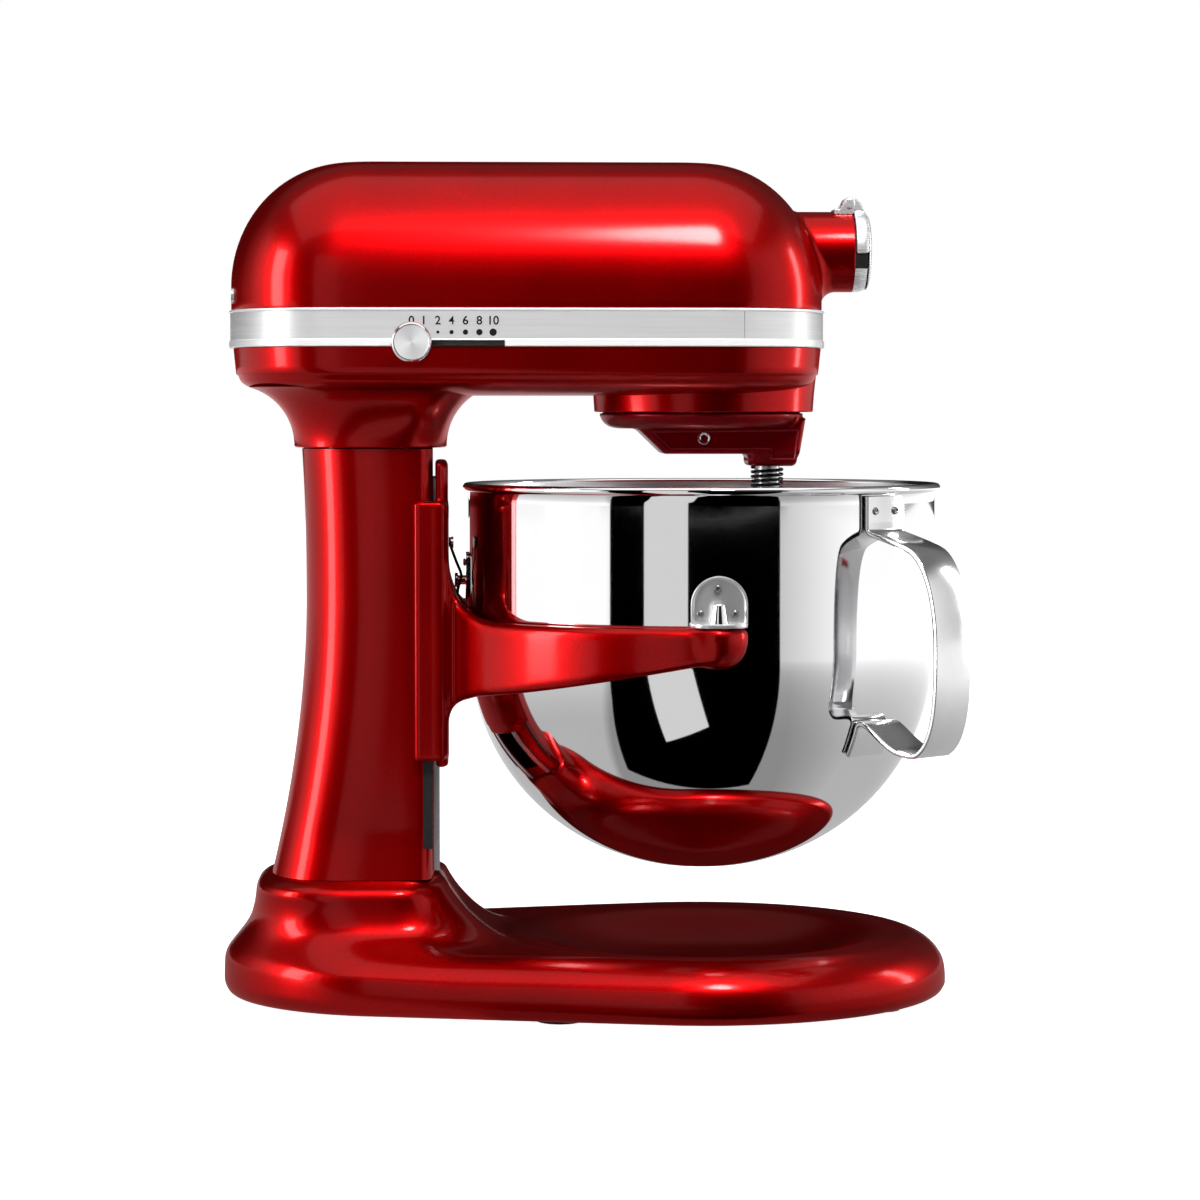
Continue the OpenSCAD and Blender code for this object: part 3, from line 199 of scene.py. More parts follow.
def shape_field(u, v, points):
    """Distance to a closed outline in two dimensions, below nought inside."""
    away = np.full(np.shape(u), 1e9)
    inside = np.zeros(np.shape(u), bool)
    for (au, av), (bu, bv) in zip(points, points[1:] + points[:1]):
        eu, ev = bu - au, bv - av
        t = np.clip(((u - au) * eu + (v - av) * ev) / (eu * eu + ev * ev), 0, 1)
        away = np.minimum(away, np.hypot(u - au - t * eu, v - av - t * ev))
        if av != bv:
            inside ^= ((av > v) != (bv > v)) & (u < au + (v - av) * eu / (bv - av))
    return np.where(inside, -away, away)


def turned(profile, foot, direction, steps=48):
    """Turned shape from (radius, height) points on an axis in any direction."""
    up = Vector(direction).normalized()
    side = up.orthogonal().normalized()
    other = up.cross(side)
    verts, faces = spin(profile, steps=steps)
    return [tuple(Vector(foot) + side * v[0] + other * v[1] + up * v[2]) for v in verts], faces


def tube(path, radius, sides=12):
    """Round wire along a path."""
    points = [Vector(p) for p in path]
    rings = []
    normal = None
    for i, point in enumerate(points):
        along = (points[min(i + 1, len(points) - 1)] - points[max(i - 1, 0)]).normalized()
        normal = along.orthogonal() if normal is None else normal - along * normal.dot(along)
        normal.normalize()
        other = along.cross(normal)
        rings.append([tuple(point + (normal * cos(t) + other * sin(t)) * radius)
                      for t in (2 * pi * k / sides for k in range(sides))])
    return loft(rings)


def joined(*skins):
    """Several skins as one."""
    verts, faces = [], []
    for v, f in skins:
        faces += [tuple(i + len(verts) for i in face) for face in f]
        verts += v
    return verts, faces


def round_box(u, v, r, k=6):
    """Corner-rounded rectangle, as an outline about the middle."""
    return [((u / 2 - r) * a + r * cos(t), (v / 2 - r) * b + r * sin(t))
            for q, (a, b) in enumerate(((1, 1), (-1, 1), (-1, -1), (1, -1)))
            for t in (pi / 2 * (q + i / k) for i in range(k + 1))]


def modified(target, kind, **settings):
    """Applies a modifier to a piece."""
    tool = target.modifiers.new(kind, kind)
    for key, value in settings.items():
        setattr(tool, key, value)
    with bpy.context.temp_override(object=target, active_object=target):
        bpy.ops.object.modifier_apply(modifier=kind)


def cut(target, *boxes):
    """Cuts boxes, given by two opposite corners in millimetres, out of a piece."""
    sides = ((0, 2, 3, 1), (4, 5, 7, 6), (0, 1, 5, 4), (2, 6, 7, 3), (0, 4, 6, 2), (1, 3, 7, 5))
    solids = [([tuple(box[k >> c & 1][c] * MM for c in range(3)) for k in range(8)], sides) for box in boxes]
    verts, faces = joined(*solids)
    mesh = bpy.data.meshes.new("cutter")
    mesh.from_pydata(verts, [], faces)
    cutter = linked("cutter", mesh)
    bpy.context.view_layer.objects.active = target
    modified(target, "BOOLEAN", operation="DIFFERENCE", object=cutter, solver="EXACT")
    bpy.data.objects.remove(cutter)


def arch(a, n):
    """A sine or cosine bent towards a square corner as n grows."""
    return copysign(abs(a) ** (2 / n), a)


def plan_ring(x0, x1, w, dr, df, n, z, k=36, sides=10, nf=None):
    """Plan outline with rounded ends, and points along its straight sides."""
    nf = nf or n
    left, right = x0 + dr, x1 - df
    turns = [180 * i / k for i in range(k + 1)]
    ring = [(right + df * arch(cos(t), nf), w * arch(sin(t), nf), z) for t in (radians(t - 90) for t in turns)]
    ring += [(right + (left - right) * i / sides, w, z) for i in range(1, sides)]
    ring += [(left + dr * arch(cos(t), n), w * arch(sin(t), n), z) for t in (radians(t + 90) for t in turns)]
    ring += [(left + (right - left) * i / sides, -w, z) for i in range(1, sides)]
    return ring


# ---- shader groups ----
def add(tree, kind, inputs=None, **settings):
    """A shader node with its inputs set or linked."""
    node = tree.nodes.new("ShaderNode" + kind)
    for key, value in settings.items():
        setattr(node, key, value)
    for key, value in (inputs or {}).items():
        if isinstance(value, bpy.types.NodeSocket):
            tree.links.new(value, node.inputs[key])
        else:
            node.inputs[key].default_value = value
    return node


def calc(tree, operation, *values):
    """Result of a maths node."""
    return add(tree, "Math", dict(enumerate(values)), operation=operation).outputs[0]


def spread(tree, value, low, high, start=0, end=1):
    """Maps a value from start and end to low and high, and holds it between them."""
    return add(tree, "MapRange", {"Value": value, "From Min": start, "From Max": end, "To Min": low,
                                  "To Max": high}).outputs["Result"]


def tint(tree, factor, first, second):
    """Colour between two others."""
    node = add(tree, "Mix", {"Factor": factor}, data_type="RGBA")
    for key, value in (("A", first), ("B", second)):
        socket = [s for s in node.inputs if s.name == key and s.type == "RGBA"][0]
        if isinstance(value, bpy.types.NodeSocket):
            tree.links.new(value, socket)
        else:
            socket.default_value = (*value, 1)
    return [s for s in node.outputs if s.type == "RGBA"][0]


def send(tree, sockets, **values):
    """Links each value to the socket it is named after."""
    for label, value in values.items():
        tree.links.new(value, sockets[label])


def group(name, extra=(), **inputs):
    """A shader group, what it is given and what it gives."""
    made = bpy.data.node_groups.new(name, "ShaderNodeTree")
    for label, kind in inputs.items():
        made.interface.new_socket(name=label, in_out="INPUT", socket_type="NodeSocket" + kind)
    for label in ("Color", "Roughness", "Height", *extra):
        kind = "Color" if label == "Color" else "Float"
        made.interface.new_socket(name=label, in_out="OUTPUT", socket_type="NodeSocket" + kind)
    return made, made.nodes.new("NodeGroupInput").outputs, made.nodes.new("NodeGroupOutput").inputs


def follow_noise(tree, given, result, first, second, **noise):
    """Colour, roughness and height that all follow one noise."""
    cloud = add(tree, "TexNoise", noise).outputs["Fac"]
    send(tree, result, Color=tint(tree, cloud, given[first], given[second]),
         Roughness=spread(tree, cloud, given["Smooth"], given["Rough"]), Height=cloud)
    return tree


def make_paint_flake():
    """Fine metal flakes under a lacquer, with a slow drift of depth."""
    tree, given, result = group("paint_flake", Light="Color", Deep="Color", Flake="Float", Rough="Float")
    where = add(tree, "TexCoord").outputs["Object"]
    flakes = add(tree, "TexVoronoi", {"Vector": where, "Scale": calc(tree, "DIVIDE", 1.0, given["Flake"])})
    drift = add(tree, "TexNoise", {"Vector": where, "Scale": 22.0, "Detail": 2.0}).outputs["Fac"]
    amount = spread(tree, calc(tree, "MULTIPLY", flakes.outputs["Color"], drift), 0, 1, 0, 0.6)
    peel = add(tree, "TexNoise", {"Vector": where, "Scale": 260.0, "Detail": 1.0}).outputs["Fac"]
    send(tree, result, Color=tint(tree, amount, given["Deep"], given["Light"]),
         Roughness=calc(tree, "MULTIPLY_ADD", drift, 0.05, given["Rough"]), Height=peel)
    return tree


def make_grain_lines():
    """Long scratches of a brushed finish: noise squeezed across the brushing."""
    tree, given, result = group("grain_lines", Stretch="Vector", Light="Color", Dark="Color", Smooth="Float",
                                Rough="Float")
    where = add(tree, "TexCoord").outputs["Object"]
    squeezed = add(tree, "VectorMath", {0: where, 1: given["Stretch"]}, operation="MULTIPLY").outputs[0]
    return follow_noise(tree, given, result, "Dark", "Light", Vector=squeezed, Scale=1.0, Detail=3.0,
                        Roughness=0.6)


def make_handling_marks():
    """Faint smears and specks that break up a polished or moulded surface."""
    tree, given, result = group("handling_marks", Clean="Color", Dull="Color", Scale="Float", Smooth="Float",
                                Rough="Float")
    where = add(tree, "TexCoord").outputs["Object"]
    return follow_noise(tree, given, result, "Dull", "Clean", Vector=where, Scale=given["Scale"], Detail=4.0,
                        Roughness=0.55)


def make_turned_face():
    """A lathe-turned face: a painted fan of highlight round the knob's axis, fine rings, and a polished edge."""
    tree, given, result = group("turned_face_and_painted_sheen", ("Metallic",), Light="Color", Dark="Color", X="Float", Z="Float",
                                Face="Float")
    split = add(tree, "SeparateXYZ", {0: add(tree, "TexCoord").outputs["Object"]}).outputs
    across = calc(tree, "SUBTRACT", split["X"], given["X"])
    up = calc(tree, "SUBTRACT", split["Z"], given["Z"])
    # Painted highlight: a two-lobed fan of lighter and darker metal round the knob's axis stands in for the
    # sheen of its turned face.
    painted_fan_sheen = calc(tree, "SINE", calc(tree, "MULTIPLY_ADD", calc(tree, "ARCTAN2", up, across), 2.0, 0.9))
    spot = add(tree, "CombineXYZ", {"X": across, "Y": up}).outputs[0]
    radius = add(tree, "VectorMath", {0: spot}, operation="LENGTH").outputs["Value"]
    groove = calc(tree, "SINE", calc(tree, "MULTIPLY", radius, 22000.0))
    level = spread(tree, calc(tree, "MULTIPLY_ADD", groove, 0.2, painted_fan_sheen), 0, 1, -1.2, 1.2)
    edge = calc(tree, "GREATER_THAN", radius, given["Face"])
    shade = tint(tree, level, given["Dark"], given["Light"])
    send(tree, result, Color=tint(tree, edge, shade, (0.8, 0.8, 0.81)), Roughness=spread(tree, edge, 0.34, 0.12),
         Height=groove, Metallic=spread(tree, edge, 0.35, 1.0))
    return tree


FLAKE = make_paint_flake()
GRAIN = make_grain_lines()
MARKS = make_handling_marks()
TURNED_SHEEN = make_turned_face()


# ---- finishes ----
def finish(name, effect, *values, bump, **sockets):
    """A material whose colour, roughness and bump come from an effect, given its inputs in order."""
    material = bpy.data.materials.new(name)
    material.use_nodes = True
    tree = material.node_tree
    shader = next(n for n in tree.nodes if n.type == "BSDF_PRINCIPLED").inputs
    source = add(tree, "Group", node_tree=effect)
    for socket, value in zip(source.inputs, values, strict=True):
        socket.default_value = (*value, 1) if socket.type == "RGBA" else value
    given = source.outputs
    relief = add(tree, "Bump", {"Height": given["Height"], "Strength": bump, "Distance": 0.2 * MM}).outputs
    send(tree, shader, **{"Base Color": given["Color"]}, Roughness=given["Roughness"], Normal=relief["Normal"])
    if "Metallic" in given:
        send(tree, shader, Metallic=given["Metallic"])
    for key, value in sockets.items():
        shader[key.replace("_", " ")].default_value = value
    return material


FLAKE_SIZE, PAINT_BUMP = 0.5 * MM, 0.03
candy_red = finish("candy_red_lacquer", FLAKE, (0.46, 0.0001, 0.001), (0.31, 0.0001, 0.0006), FLAKE_SIZE, 0.34,
                   bump=PAINT_BUMP, Metallic=0.97, Coat_Weight=0.26, Coat_Roughness=0.14, Coat_IOR=1.5,
                   Specular_Tint=(0.8, 0.0, 0.002, 1))
planetary_red = finish("planetary_red_lacquer", FLAKE, (0.32, 0.001, 0.006), (0.22, 0.0006, 0.004), FLAKE_SIZE,
                       0.4, bump=PAINT_BUMP, Metallic=0.85, Coat_Weight=0.25, Coat_Roughness=0.08,
                       Specular_Tint=(0.7, 0.0, 0.01, 1))
# Painted highlight: a lighter, less metallic copy of the planetary lacquer, for the raised panel beads.
planetary_bead_highlight = finish("planetary_bead_painted_highlight", FLAKE, (0.5, 0.006, 0.02), (0.4, 0.003, 0.012), FLAKE_SIZE,
                        0.45, bump=PAINT_BUMP, Metallic=0.4, Coat_Weight=0.3, Coat_Roughness=0.1)
# Rivet heads are given a darker steel than the other fittings.
rivet_steel = finish("darkened_rivet_steel", MARKS, (0.3, 0.3, 0.31), (0.16, 0.16, 0.17), 600, 0.25, 0.4,
                     bump=0.02, Metallic=0.9)
bowl_steel = finish("polished_bowl_steel", MARKS, (0.86, 0.86, 0.865), (0.8, 0.8, 0.81), 30, 0.03, 0.05,
                    bump=0.004, Metallic=1)
inner_steel = finish("brushed_bowl_inside", GRAIN, (30, 30, 1600), (0.86, 0.86, 0.87), (0.72, 0.72, 0.73),
                     0.22, 0.36, bump=0.02, Metallic=0.65)
trim_steel = finish("brushed_trim_steel", GRAIN, (14, 14, 2600), (0.78, 0.78, 0.785), (0.52, 0.52, 0.53), 0.3,
                    0.5, bump=0.05, Metallic=0.3)
satin_steel = finish("satin_plate_steel", MARKS, (0.98, 0.98, 0.98), (0.9, 0.9, 0.9), 400, 0.3, 0.42,
                     bump=0.02, Metallic=0.15)
hub_steel = finish("hub_trim_steel", GRAIN, (90, 90, 3600), (0.85, 0.85, 0.855), (0.79, 0.79, 0.8), 0.25, 0.3,
                   bump=0.01, Metallic=0.6)
bracket_steel = finish("satin_bracket_steel", MARKS, (0.72, 0.72, 0.725), (0.6, 0.6, 0.61), 120, 0.3, 0.38,
                       bump=0.01, Metallic=0.8)
handle_steel = finish("rolled_handle_steel", MARKS, (0.82, 0.82, 0.825), (0.68, 0.68, 0.69), 60, 0.1, 0.18,
                      bump=0.02, Metallic=1)
strip_steel = finish("polished_strip_steel", MARKS, (0.92, 0.92, 0.92), (0.85, 0.85, 0.86), 60, 0.06, 0.12,
                     bump=0.01, Metallic=1)
machined_steel = finish("machined_steel", GRAIN, (300, 300, 1500), (0.62, 0.62, 0.64), (0.48, 0.48, 0.5),
                        0.25, 0.42, bump=0.05, Metallic=1)
black_plastic = finish("black_moulding", MARKS, (0.012, 0.012, 0.013), (0.022, 0.022, 0.024), 400, 0.4, 0.55,
                       bump=0.05, Specular_IOR_Level=0.15)
black_wire = finish("blackened_wire", MARKS, (0.03, 0.03, 0.032), (0.012, 0.012, 0.013), 300, 0.2, 0.35,
                    bump=0.05, Metallic=0.9)
print_black = finish("scale_ink", MARKS, (0.008, 0.008, 0.008), (0.015, 0.015, 0.015), 900, 0.5, 0.6, bump=0.02,
                     Specular_IOR_Level=0.1)
# The knob's two colours are the light and dark ends of its painted sheen fan, with turned rings mixed in.
knob_steel = finish("turned_knob_metal_painted_sheen", TURNED_SHEEN, (0.92, 0.92, 0.925), (0.62, 0.62, 0.63), KNOB_X * MM,
                    KNOB_Z * MM, (KNOB_R - 1.6) * MM, bump=0.03)
SLOT_FINISH = {
    "candy_red": candy_red, "planetary_red": planetary_red, "black_plastic": black_plastic,
    "black_wire": black_wire, "machined_steel": machined_steel, "brushed_band": trim_steel,
    "polished_trim": strip_steel, "brushed_knob": knob_steel, "polished_bowl": bowl_steel,
    "rubber": finish("foot_rubber", MARKS, (0.03, 0.03, 0.03), (0.018, 0.018, 0.018), 500, 0.7, 0.9, bump=0.15),
    "cast_aluminium": finish("cast_aluminium", MARKS, (0.6, 0.6, 0.61), (0.42, 0.42, 0.43), 180, 0.42, 0.6,
                             bump=0.2, Metallic=0.9),
    "motor_iron": finish("laminated_iron", GRAIN, (1500, 60, 60), (0.3, 0.3, 0.32), (0.16, 0.16, 0.17), 0.4,
                         0.6, bump=0.2, Metallic=0.8),
    "brass": finish("machined_brass", GRAIN, (400, 1200, 400), (0.78, 0.6, 0.28), (0.6, 0.42, 0.16), 0.25,
                    0.42, bump=0.05, Metallic=1),
    "circuit_board": finish("circuit_board", MARKS, (0.02, 0.16, 0.05), (0.01, 0.1, 0.03), 260, 0.35, 0.5,
                            bump=0.05)}
for part in frame["record"]["subparts"]:
    materials = nodes[part["node"]].data.materials
    materials.clear()
    materials.append(SLOT_FINISH[part["material_slot"]])


# ---- base ----
SIDE_Z, EDGE_W, EDGE_H = 9, 24, 23
UNDER_Z, UNDER_W, UNDER_H = 11, 8, 10
SCOOP_R = [0, 20, 45, 65, 80, 90, 96, DISH_R, 107, 115, 120, 127, 132, 136]
SCOOP_Z = [DISH_LOW + (DISH_RIM - DISH_LOW) * sin(radians(90 * (r / DISH_R) ** 1.5)) ** 2.6 for r in SCOOP_R[:8]]
SCOOP_Z += [34.6, 40.5, 45.0, 54.0, 62.5, 72.0]


def shaped_end(x, y, x0, x1, w, dr, df, n):
    """Field of a plan outline with rounded ends, about in millimetres."""
    a = np.where(x > x1 - df, (x - x1 + df) / df, np.where(x < x0 + dr, (x0 + dr - x) / dr, 0))
    return ((np.maximum(a, 0) ** n + (np.abs(y) / w) ** n) ** (1 / n) - 1) * np.minimum(w, np.minimum(dr, df))


def plate_outline(x, y):
    """Distance to the base's outline: two round ends and the lines that touch both."""
    span = BOWL_X - BASE_REAR_X
    slope = (BASE_REAR_R - BASE_FRONT_R) / span
    level = sqrt(1 - slope * slope)
    side, along = np.abs(y), x - BASE_REAR_X
    k = -slope * side + level * along
    rear = np.hypot(side, along) - BASE_REAR_R
    front = np.hypot(side, along - span) - BASE_FRONT_R
    middle = side * level + along * slope - BASE_REAR_R
    return np.where(k < 0, rear, np.where(k > level * span, front, middle))


def smooth_curve(x, xs, ys):
    """Natural cubic through the points, evaluated at x."""
    xs, ys = np.array(xs, float), np.array(ys, float)
    h = np.diff(xs)
    a = np.diag([1, *2 * (h[:-1] + h[1:]), 1]) + np.diag([*h[:-1], 0], -1) + np.diag([0, *h[1:]], 1)
    m = np.linalg.solve(a, [0, *6 * np.diff(np.diff(ys) / h), 0])
    x = np.clip(x, xs[0], xs[-1])
    i = np.clip(np.searchsorted(xs, x) - 1, 0, len(xs) - 2)
    t0, t1 = xs[i + 1] - x, x - xs[i]
    return (m[i] * t0 ** 3 + m[i + 1] * t1 ** 3) / (6 * h[i]) + (ys[i] / h[i] - m[i] * h[i] / 6) * t0 \
        + (ys[i + 1] / h[i] - m[i + 1] * h[i] / 6) * t1


def base_field(x, y, z):
    """Rounded plate and pedestal block, less the dish and the hollow underneath."""
    depth = -plate_outline(x, y)
    plate = np.hypot(np.maximum(EDGE_W - depth, 0) / EDGE_W, np.maximum(z - SIDE_Z, 0) / EDGE_H)
    plate = (plate - 1) * EDGE_H
    plate = np.where(z < SIDE_Z, np.maximum(plate, -depth), plate)
    q = np.clip((BLOCK_Z - 5 - np.maximum(z, 21)) / 38, 0, 1.2)
    block = shaped_end(x, y, -166.5 - 14 * q * q, -67 + 44 * q ** 1.35, 62 + 19 * q ** 2.2, 46 + 30 * q,
                       34 + 24 * q, 2.8 - 0.7 * q)
    whole = smin(plate, smax(block, z - BLOCK_Z, 9), 12)
    r = np.hypot(x - BOWL_X, y)
    scoop = np.where(r < 135.5, z - smooth_curve(r, SCOOP_R, SCOOP_Z), -50)
    scoop = np.where(r < DISH_R, scoop, scoop / np.sqrt(1 + 1.2 ** 2))
    whole = smax(whole, scoop, 2.5)
    under = np.hypot(np.maximum(UNDER_W - depth, 0) / UNDER_W, np.maximum(UNDER_Z - z, 0) / UNDER_H)
    whole = np.maximum(smax(whole, 0.05 - depth, 3), np.where(z < UNDER_Z, (under - 1) * 8.5, -50))
    hollow = np.maximum(9 - depth, np.abs(z) - 10)
    return smax(smax(whole, 1.2 - z, 3), -hollow, 2)


piece("base_body", fused(base_field, (-184, -126, 0), (184, 126, 66), 1.7),
      "stand", candy_red, ("base_casting",), crease=180, slot="candy_red")


# ---- column ----
def column_back(z):
    """X of the column's curved back at a height."""
    u = (z - 203) / 139
    return -140.9 - (17.6 * (-u) ** 1.9 if z < 203 else 9 * (u * 1.88) ** 2.4 / 4.6)


def column_ring(z, t):
    """Column's section at a height, drawn in by t."""
    side = 47 + max(0, 84 - z) * 0.16 - t
    return plan_ring(column_back(z) + t, COL_FRONT - t, side, 44 - t, 16 - t * 0.6, 2.8, z, k=28, sides=4, nf=6)


levels = [BLOCK_Z + (SEAM_Z - BLOCK_Z) * i / 48 for i in range(48)] + [SEAM_Z - 1.0, SEAM_Z - 0.3]
outer = [column_ring(z, 0) for z in levels] + [column_ring(SEAM_Z, 0.8)]
inner = [column_ring(z, 4.5) for z in (SEAM_Z, 240, 200, 160, 110, BLOCK_Z)]
column = piece("column_body", loft(outer + inner, closed=True),
               "stand", candy_red, ("column_casting",), slot="candy_red")
cut(column, ((COL_FRONT - 12, -17, 76), (COL_FRONT + 5, 17, 262)),
    *(((COL_FRONT - 5.2, y, 79), (COL_FRONT + 5, y + 16, 251)) for y in (44, -60)))
column.data.set_sharp_from_angle(angle=radians(32))


# ---- head ----
def head_ring(x0, x1, w, dr, df, z, sides=14):
    """Plan outline with the head's corners."""
    return plan_ring(x0, x1, w, dr, df, HEAD_ARCH, z, k=60, sides=sides)


def draw_in(z, reach):
    """How far in, from 0 to 1, a rounding that starts this far below the head's top has come."""
    low = HEAD_TOP - reach
    return 0 if z <= low else 1 - sqrt(max(0, 1 - ((z - low) / reach) ** 2))


def cover_plan(z, t=0):
    """Rear, front, half width and share of the end radii of the head cover, drawn in by t."""
    x0, x1 = HEAD_REAR + CROWN * draw_in(z, 62) + t, HEAD_FRONT - 58.2 * draw_in(z, 67.7) - t
    w = HEAD_HALF - CROWN * draw_in(z, 64) - t
    return x0, x1, w, max(0.35, w / HEAD_HALF)


def cover_ring(z, t=0):
    x0, x1, w, f = cover_plan(z, t)
    return head_ring(x0, x1, w, HEAD_REAR_R * f, HEAD_FRONT_R * f, z)


def cover_front(y, z):
    """X of the cover's front at a place across and up."""
    _, x1, w, f = cover_plan(z)
    df = HEAD_FRONT_R * f
    return x1 - df + df * max(0, 1 - (abs(y) / w) ** HEAD_ARCH) ** (1 / HEAD_ARCH)


rings = [cover_ring(z, 3.6) for z in (400, 385, 365, BAND_TOP)]
rings += [cover_ring(BAND_TOP, 0.6), cover_ring(BAND_TOP + 0.3, 0.15), cover_ring(BAND_TOP + 0.9)]
rings += [cover_ring(BAND_TOP + (HEAD_TOP - BAND_TOP) * sin(radians(a)))
          for a in (*range(3, 76, 3), 77.5, *range(80, 89, 2), 89, 90)]
piece("head_cover_shell", loft(rings), "stand", candy_red, ("head_cover",), slot="candy_red")

turns = [2 * pi * i / 120 for i in range(120)]
rings = []
for s in (-1, *range(0, 91, 9)):
    up = radians(max(0, s))
    ring = []
    for a in turns:
        fillet = 3.2 + 4.8 * max(0.0, -sin(a)) ** 0.7
        r = HUB_R + fillet * (1 - sin(up))
        y, z = r * cos(a), HUB_Z + r * sin(a)
        ring.append((cover_front(y, z) + fillet * (1 - cos(up)) - (2.5 if s < 0 else 0), y, z))
    rings.append(ring)
rings += [[(x, r * cos(a), HUB_Z + r * sin(a)) for a in turns] for x, r in (
    (HUB_FRONT - 6, HUB_R), (HUB_FRONT - 0.6, HUB_R), (HUB_FRONT, HUB_R - 0.5), (HUB_FRONT, 17.6), (100, 17.6))]
piece("hub_neck", loft(rings), "stand", candy_red, slot="candy_red")

# inset of the tray's ring at each height
TRAY_ROUND = ((303, 34), (303.4, 27), (304, 21), (305, 14.5), (306, 10), (307, 6.8), (308, 4.6), (309.5, 2.7),
              (311, 1.7), (312.4, 1.2), (312.9, 0.8), (313.2, 0.3), (313.8, 0), (317, 0), (322, 0),
              (BAND_LOW - 0.4, 0), (BAND_LOW, 0.4), (BAND_LOW, 5), (308, 6))


def tray_ring(z, t):
    """Section of the head below the band, drawn in by t."""
    e = (1.35 if z < 313 else (BAND_LOW - z) * 0.1) + t
    return head_ring(HEAD_REAR + 1 + e, HEAD_FRONT - 0.4 - e, HEAD_HALF - e, HEAD_REAR_R - e,
                     HEAD_FRONT_R - e, z)


def neck_ring(z):
    """Section of the flare from the column into the head."""
    h = max(0, z - 278)
    e = 30 - sqrt(max(1, 900 - h * h))
    return plan_ring(-146.6 - e, -70.2 + e, 51 + e * 0.8, 46, 30, 2.9, z, k=40, sides=6)


piece("head_tray", loft([tray_ring(z, inset) for z, inset in TRAY_ROUND]),
      "stand", candy_red, ("head_lower",), slot="candy_red")
rings = [[(x + (0.7 if x < -110 else -0.7), y * 0.985, SEAM_Z + 0.35) for x, y, _ in neck_ring(SEAM_Z)]]
rings += [neck_ring(z) for z in (SEAM_Z + 1.0, 278, 279, *range(280, 299, 2), 299.5, 301, 302, 303, 304.2, 305.2,
                                 306.2, 307)]
piece("head_neck", loft(rings), "stand", candy_red, slot="candy_red")


# ---- trim band ----
def band_skin(section):
    """Skin round the head through a section of (height, distance out)."""
    return loft([head_ring(HEAD_REAR - out, HEAD_FRONT + 0.2 + out, HEAD_HALF + out, HEAD_REAR_R + out,
                           HEAD_FRONT_R + out, z, 30) for z, out in section], closed=True)


PLATE_OUT, STRIP_OUT, BAND_BACK = 0.5, 1.1, -3
SLOT_BOX = ((KNOB_X - 5, -90, KNOB_Z - 1.8), (KNOB_X + 45, -60, KNOB_Z + 1.2))
low, high = BAND_LOW + LOW_STRIP, BAND_TOP - TOP_STRIP
skin = band_skin([(low, PLATE_OUT), (high, PLATE_OUT), (high, BAND_BACK), (low, BAND_BACK)])
band = piece("band_plate", skin, "stand", trim_steel, ("trim_band",), slot="brushed_band")
cut(band, SLOT_BOX, ((73.4, -100, 320), (140, 100, 350)))
front_band = piece("band_front_plate", skin, "stand", trim_steel, ("band_front",), slot="brushed_band")
cut(front_band, ((-200, -100, 320), (73.6, 100, 350)))
skin = joined(*(band_skin([(a, 0.7), (a + 0.4, STRIP_OUT), (b - 0.4, STRIP_OUT), (b, 0.7), (b, BAND_BACK),
                           (a, BAND_BACK)])
                for a, b in ((BAND_LOW, low), (high, BAND_TOP))))
strips = piece("band_edge_strips", skin, "stand", satin_steel, ("band_strips",), slot="polished_trim")
cut(strips, SLOT_BOX)
for shown in (band, front_band, strips):
    shown.data.set_sharp_from_angle(angle=radians(30))


# ---- bowl ----
def bowl_at(z, inset=0):
    """Radius of the bowl at a height, drawn in by an inset."""
    r = BOWL_R - inset
    below = (BOWL_CURVE_Z - z) / (BOWL_DEPTH - inset)
    return r if z >= BOWL_CURVE_Z else r * max(0, 1 - below ** BOWL_ARCH) ** (1 / BOWL_ARCH)


def bowl_curve(inset, steps=90):
    """Bowl's profile from its axis up to its straight wall."""
    low = BOWL_LOW + inset
    levels = [BOWL_CURVE_Z - (BOWL_CURVE_Z - low) * sin(radians(90 * (1 - i / steps))) for i in range(steps + 1)]
    return [(0, low)] + [(bowl_at(z, inset), z) for z in levels]


rim = [(BOWL_R, 254.6), (BOWL_R + 0.2, 255.0)]
rim += [(BOWL_R + 0.8 + 2.0 * cos(radians(a)), RIM_Z + 2.05 * sin(radians(a))) for a in range(-80, 181, 12)]
profile = bowl_curve(0) + [(BOWL_R, z) for z in (200, 225, 250)] + rim
profile += [(BOWL_R - BOWL_WALL, z) for z in (255, 225, 200)] + bowl_curve(BOWL_WALL)[::-1]
bowl = piece("bowl_shell", spin(profile, (BOWL_X, 0, 0), steps=192),
             "bowl", bowl_steel, ("bowl",), crease=60, slot="polished_bowl")
bowl.data.materials.append(inner_steel)
for face in bowl.data.polygons:
    c = face.center
    r, z = hypot(c.x - BOWL_X * MM, c.y) / MM, c.z / MM
    within = 68 < z < 256.5 and r < bowl_at(z) - 0.8
    if within or (67.4 < z < 80 and r < 30 and face.normal.z > 0):
        face.material_index = 1


# ---- speed scale and knob ----
profile = [(0, 0), (5.4, 0.1), (KNOB_R - 0.3, 1.6), (KNOB_R, 2.2), (KNOB_R, 8.6), (KNOB_R - 0.25, 9.2),
           (KNOB_R - 1.1, 10.0), (KNOB_R - 1.5, 9.95), (KNOB_R - 1.7, 9.7), (0, 9.62)]
piece("speed_knob_turned", turned(profile, (KNOB_X, -81.2, KNOB_Z), (0, -1, 0), 96),
      "speed_lever", knob_steel, ("speed_knob",), slot="brushed_knob")

# each mark's label, x and dot radius
SCALE_MARKS = (("0", KNOB_X, 0), ("1", -81.6, 0), ("2", -74.8, 0.75), ("4", -68.2, 1.02), ("6", -61.5, 1.27),
               ("8", -54.8, 1.52), ("10", -48.2, 1.77))
FIGURE_Z, FIGURE_H, DOT_Z = 338.7, 4.2, 333.2
BAND_FACE_Y = -HEAD_HALF - PLATE_OUT


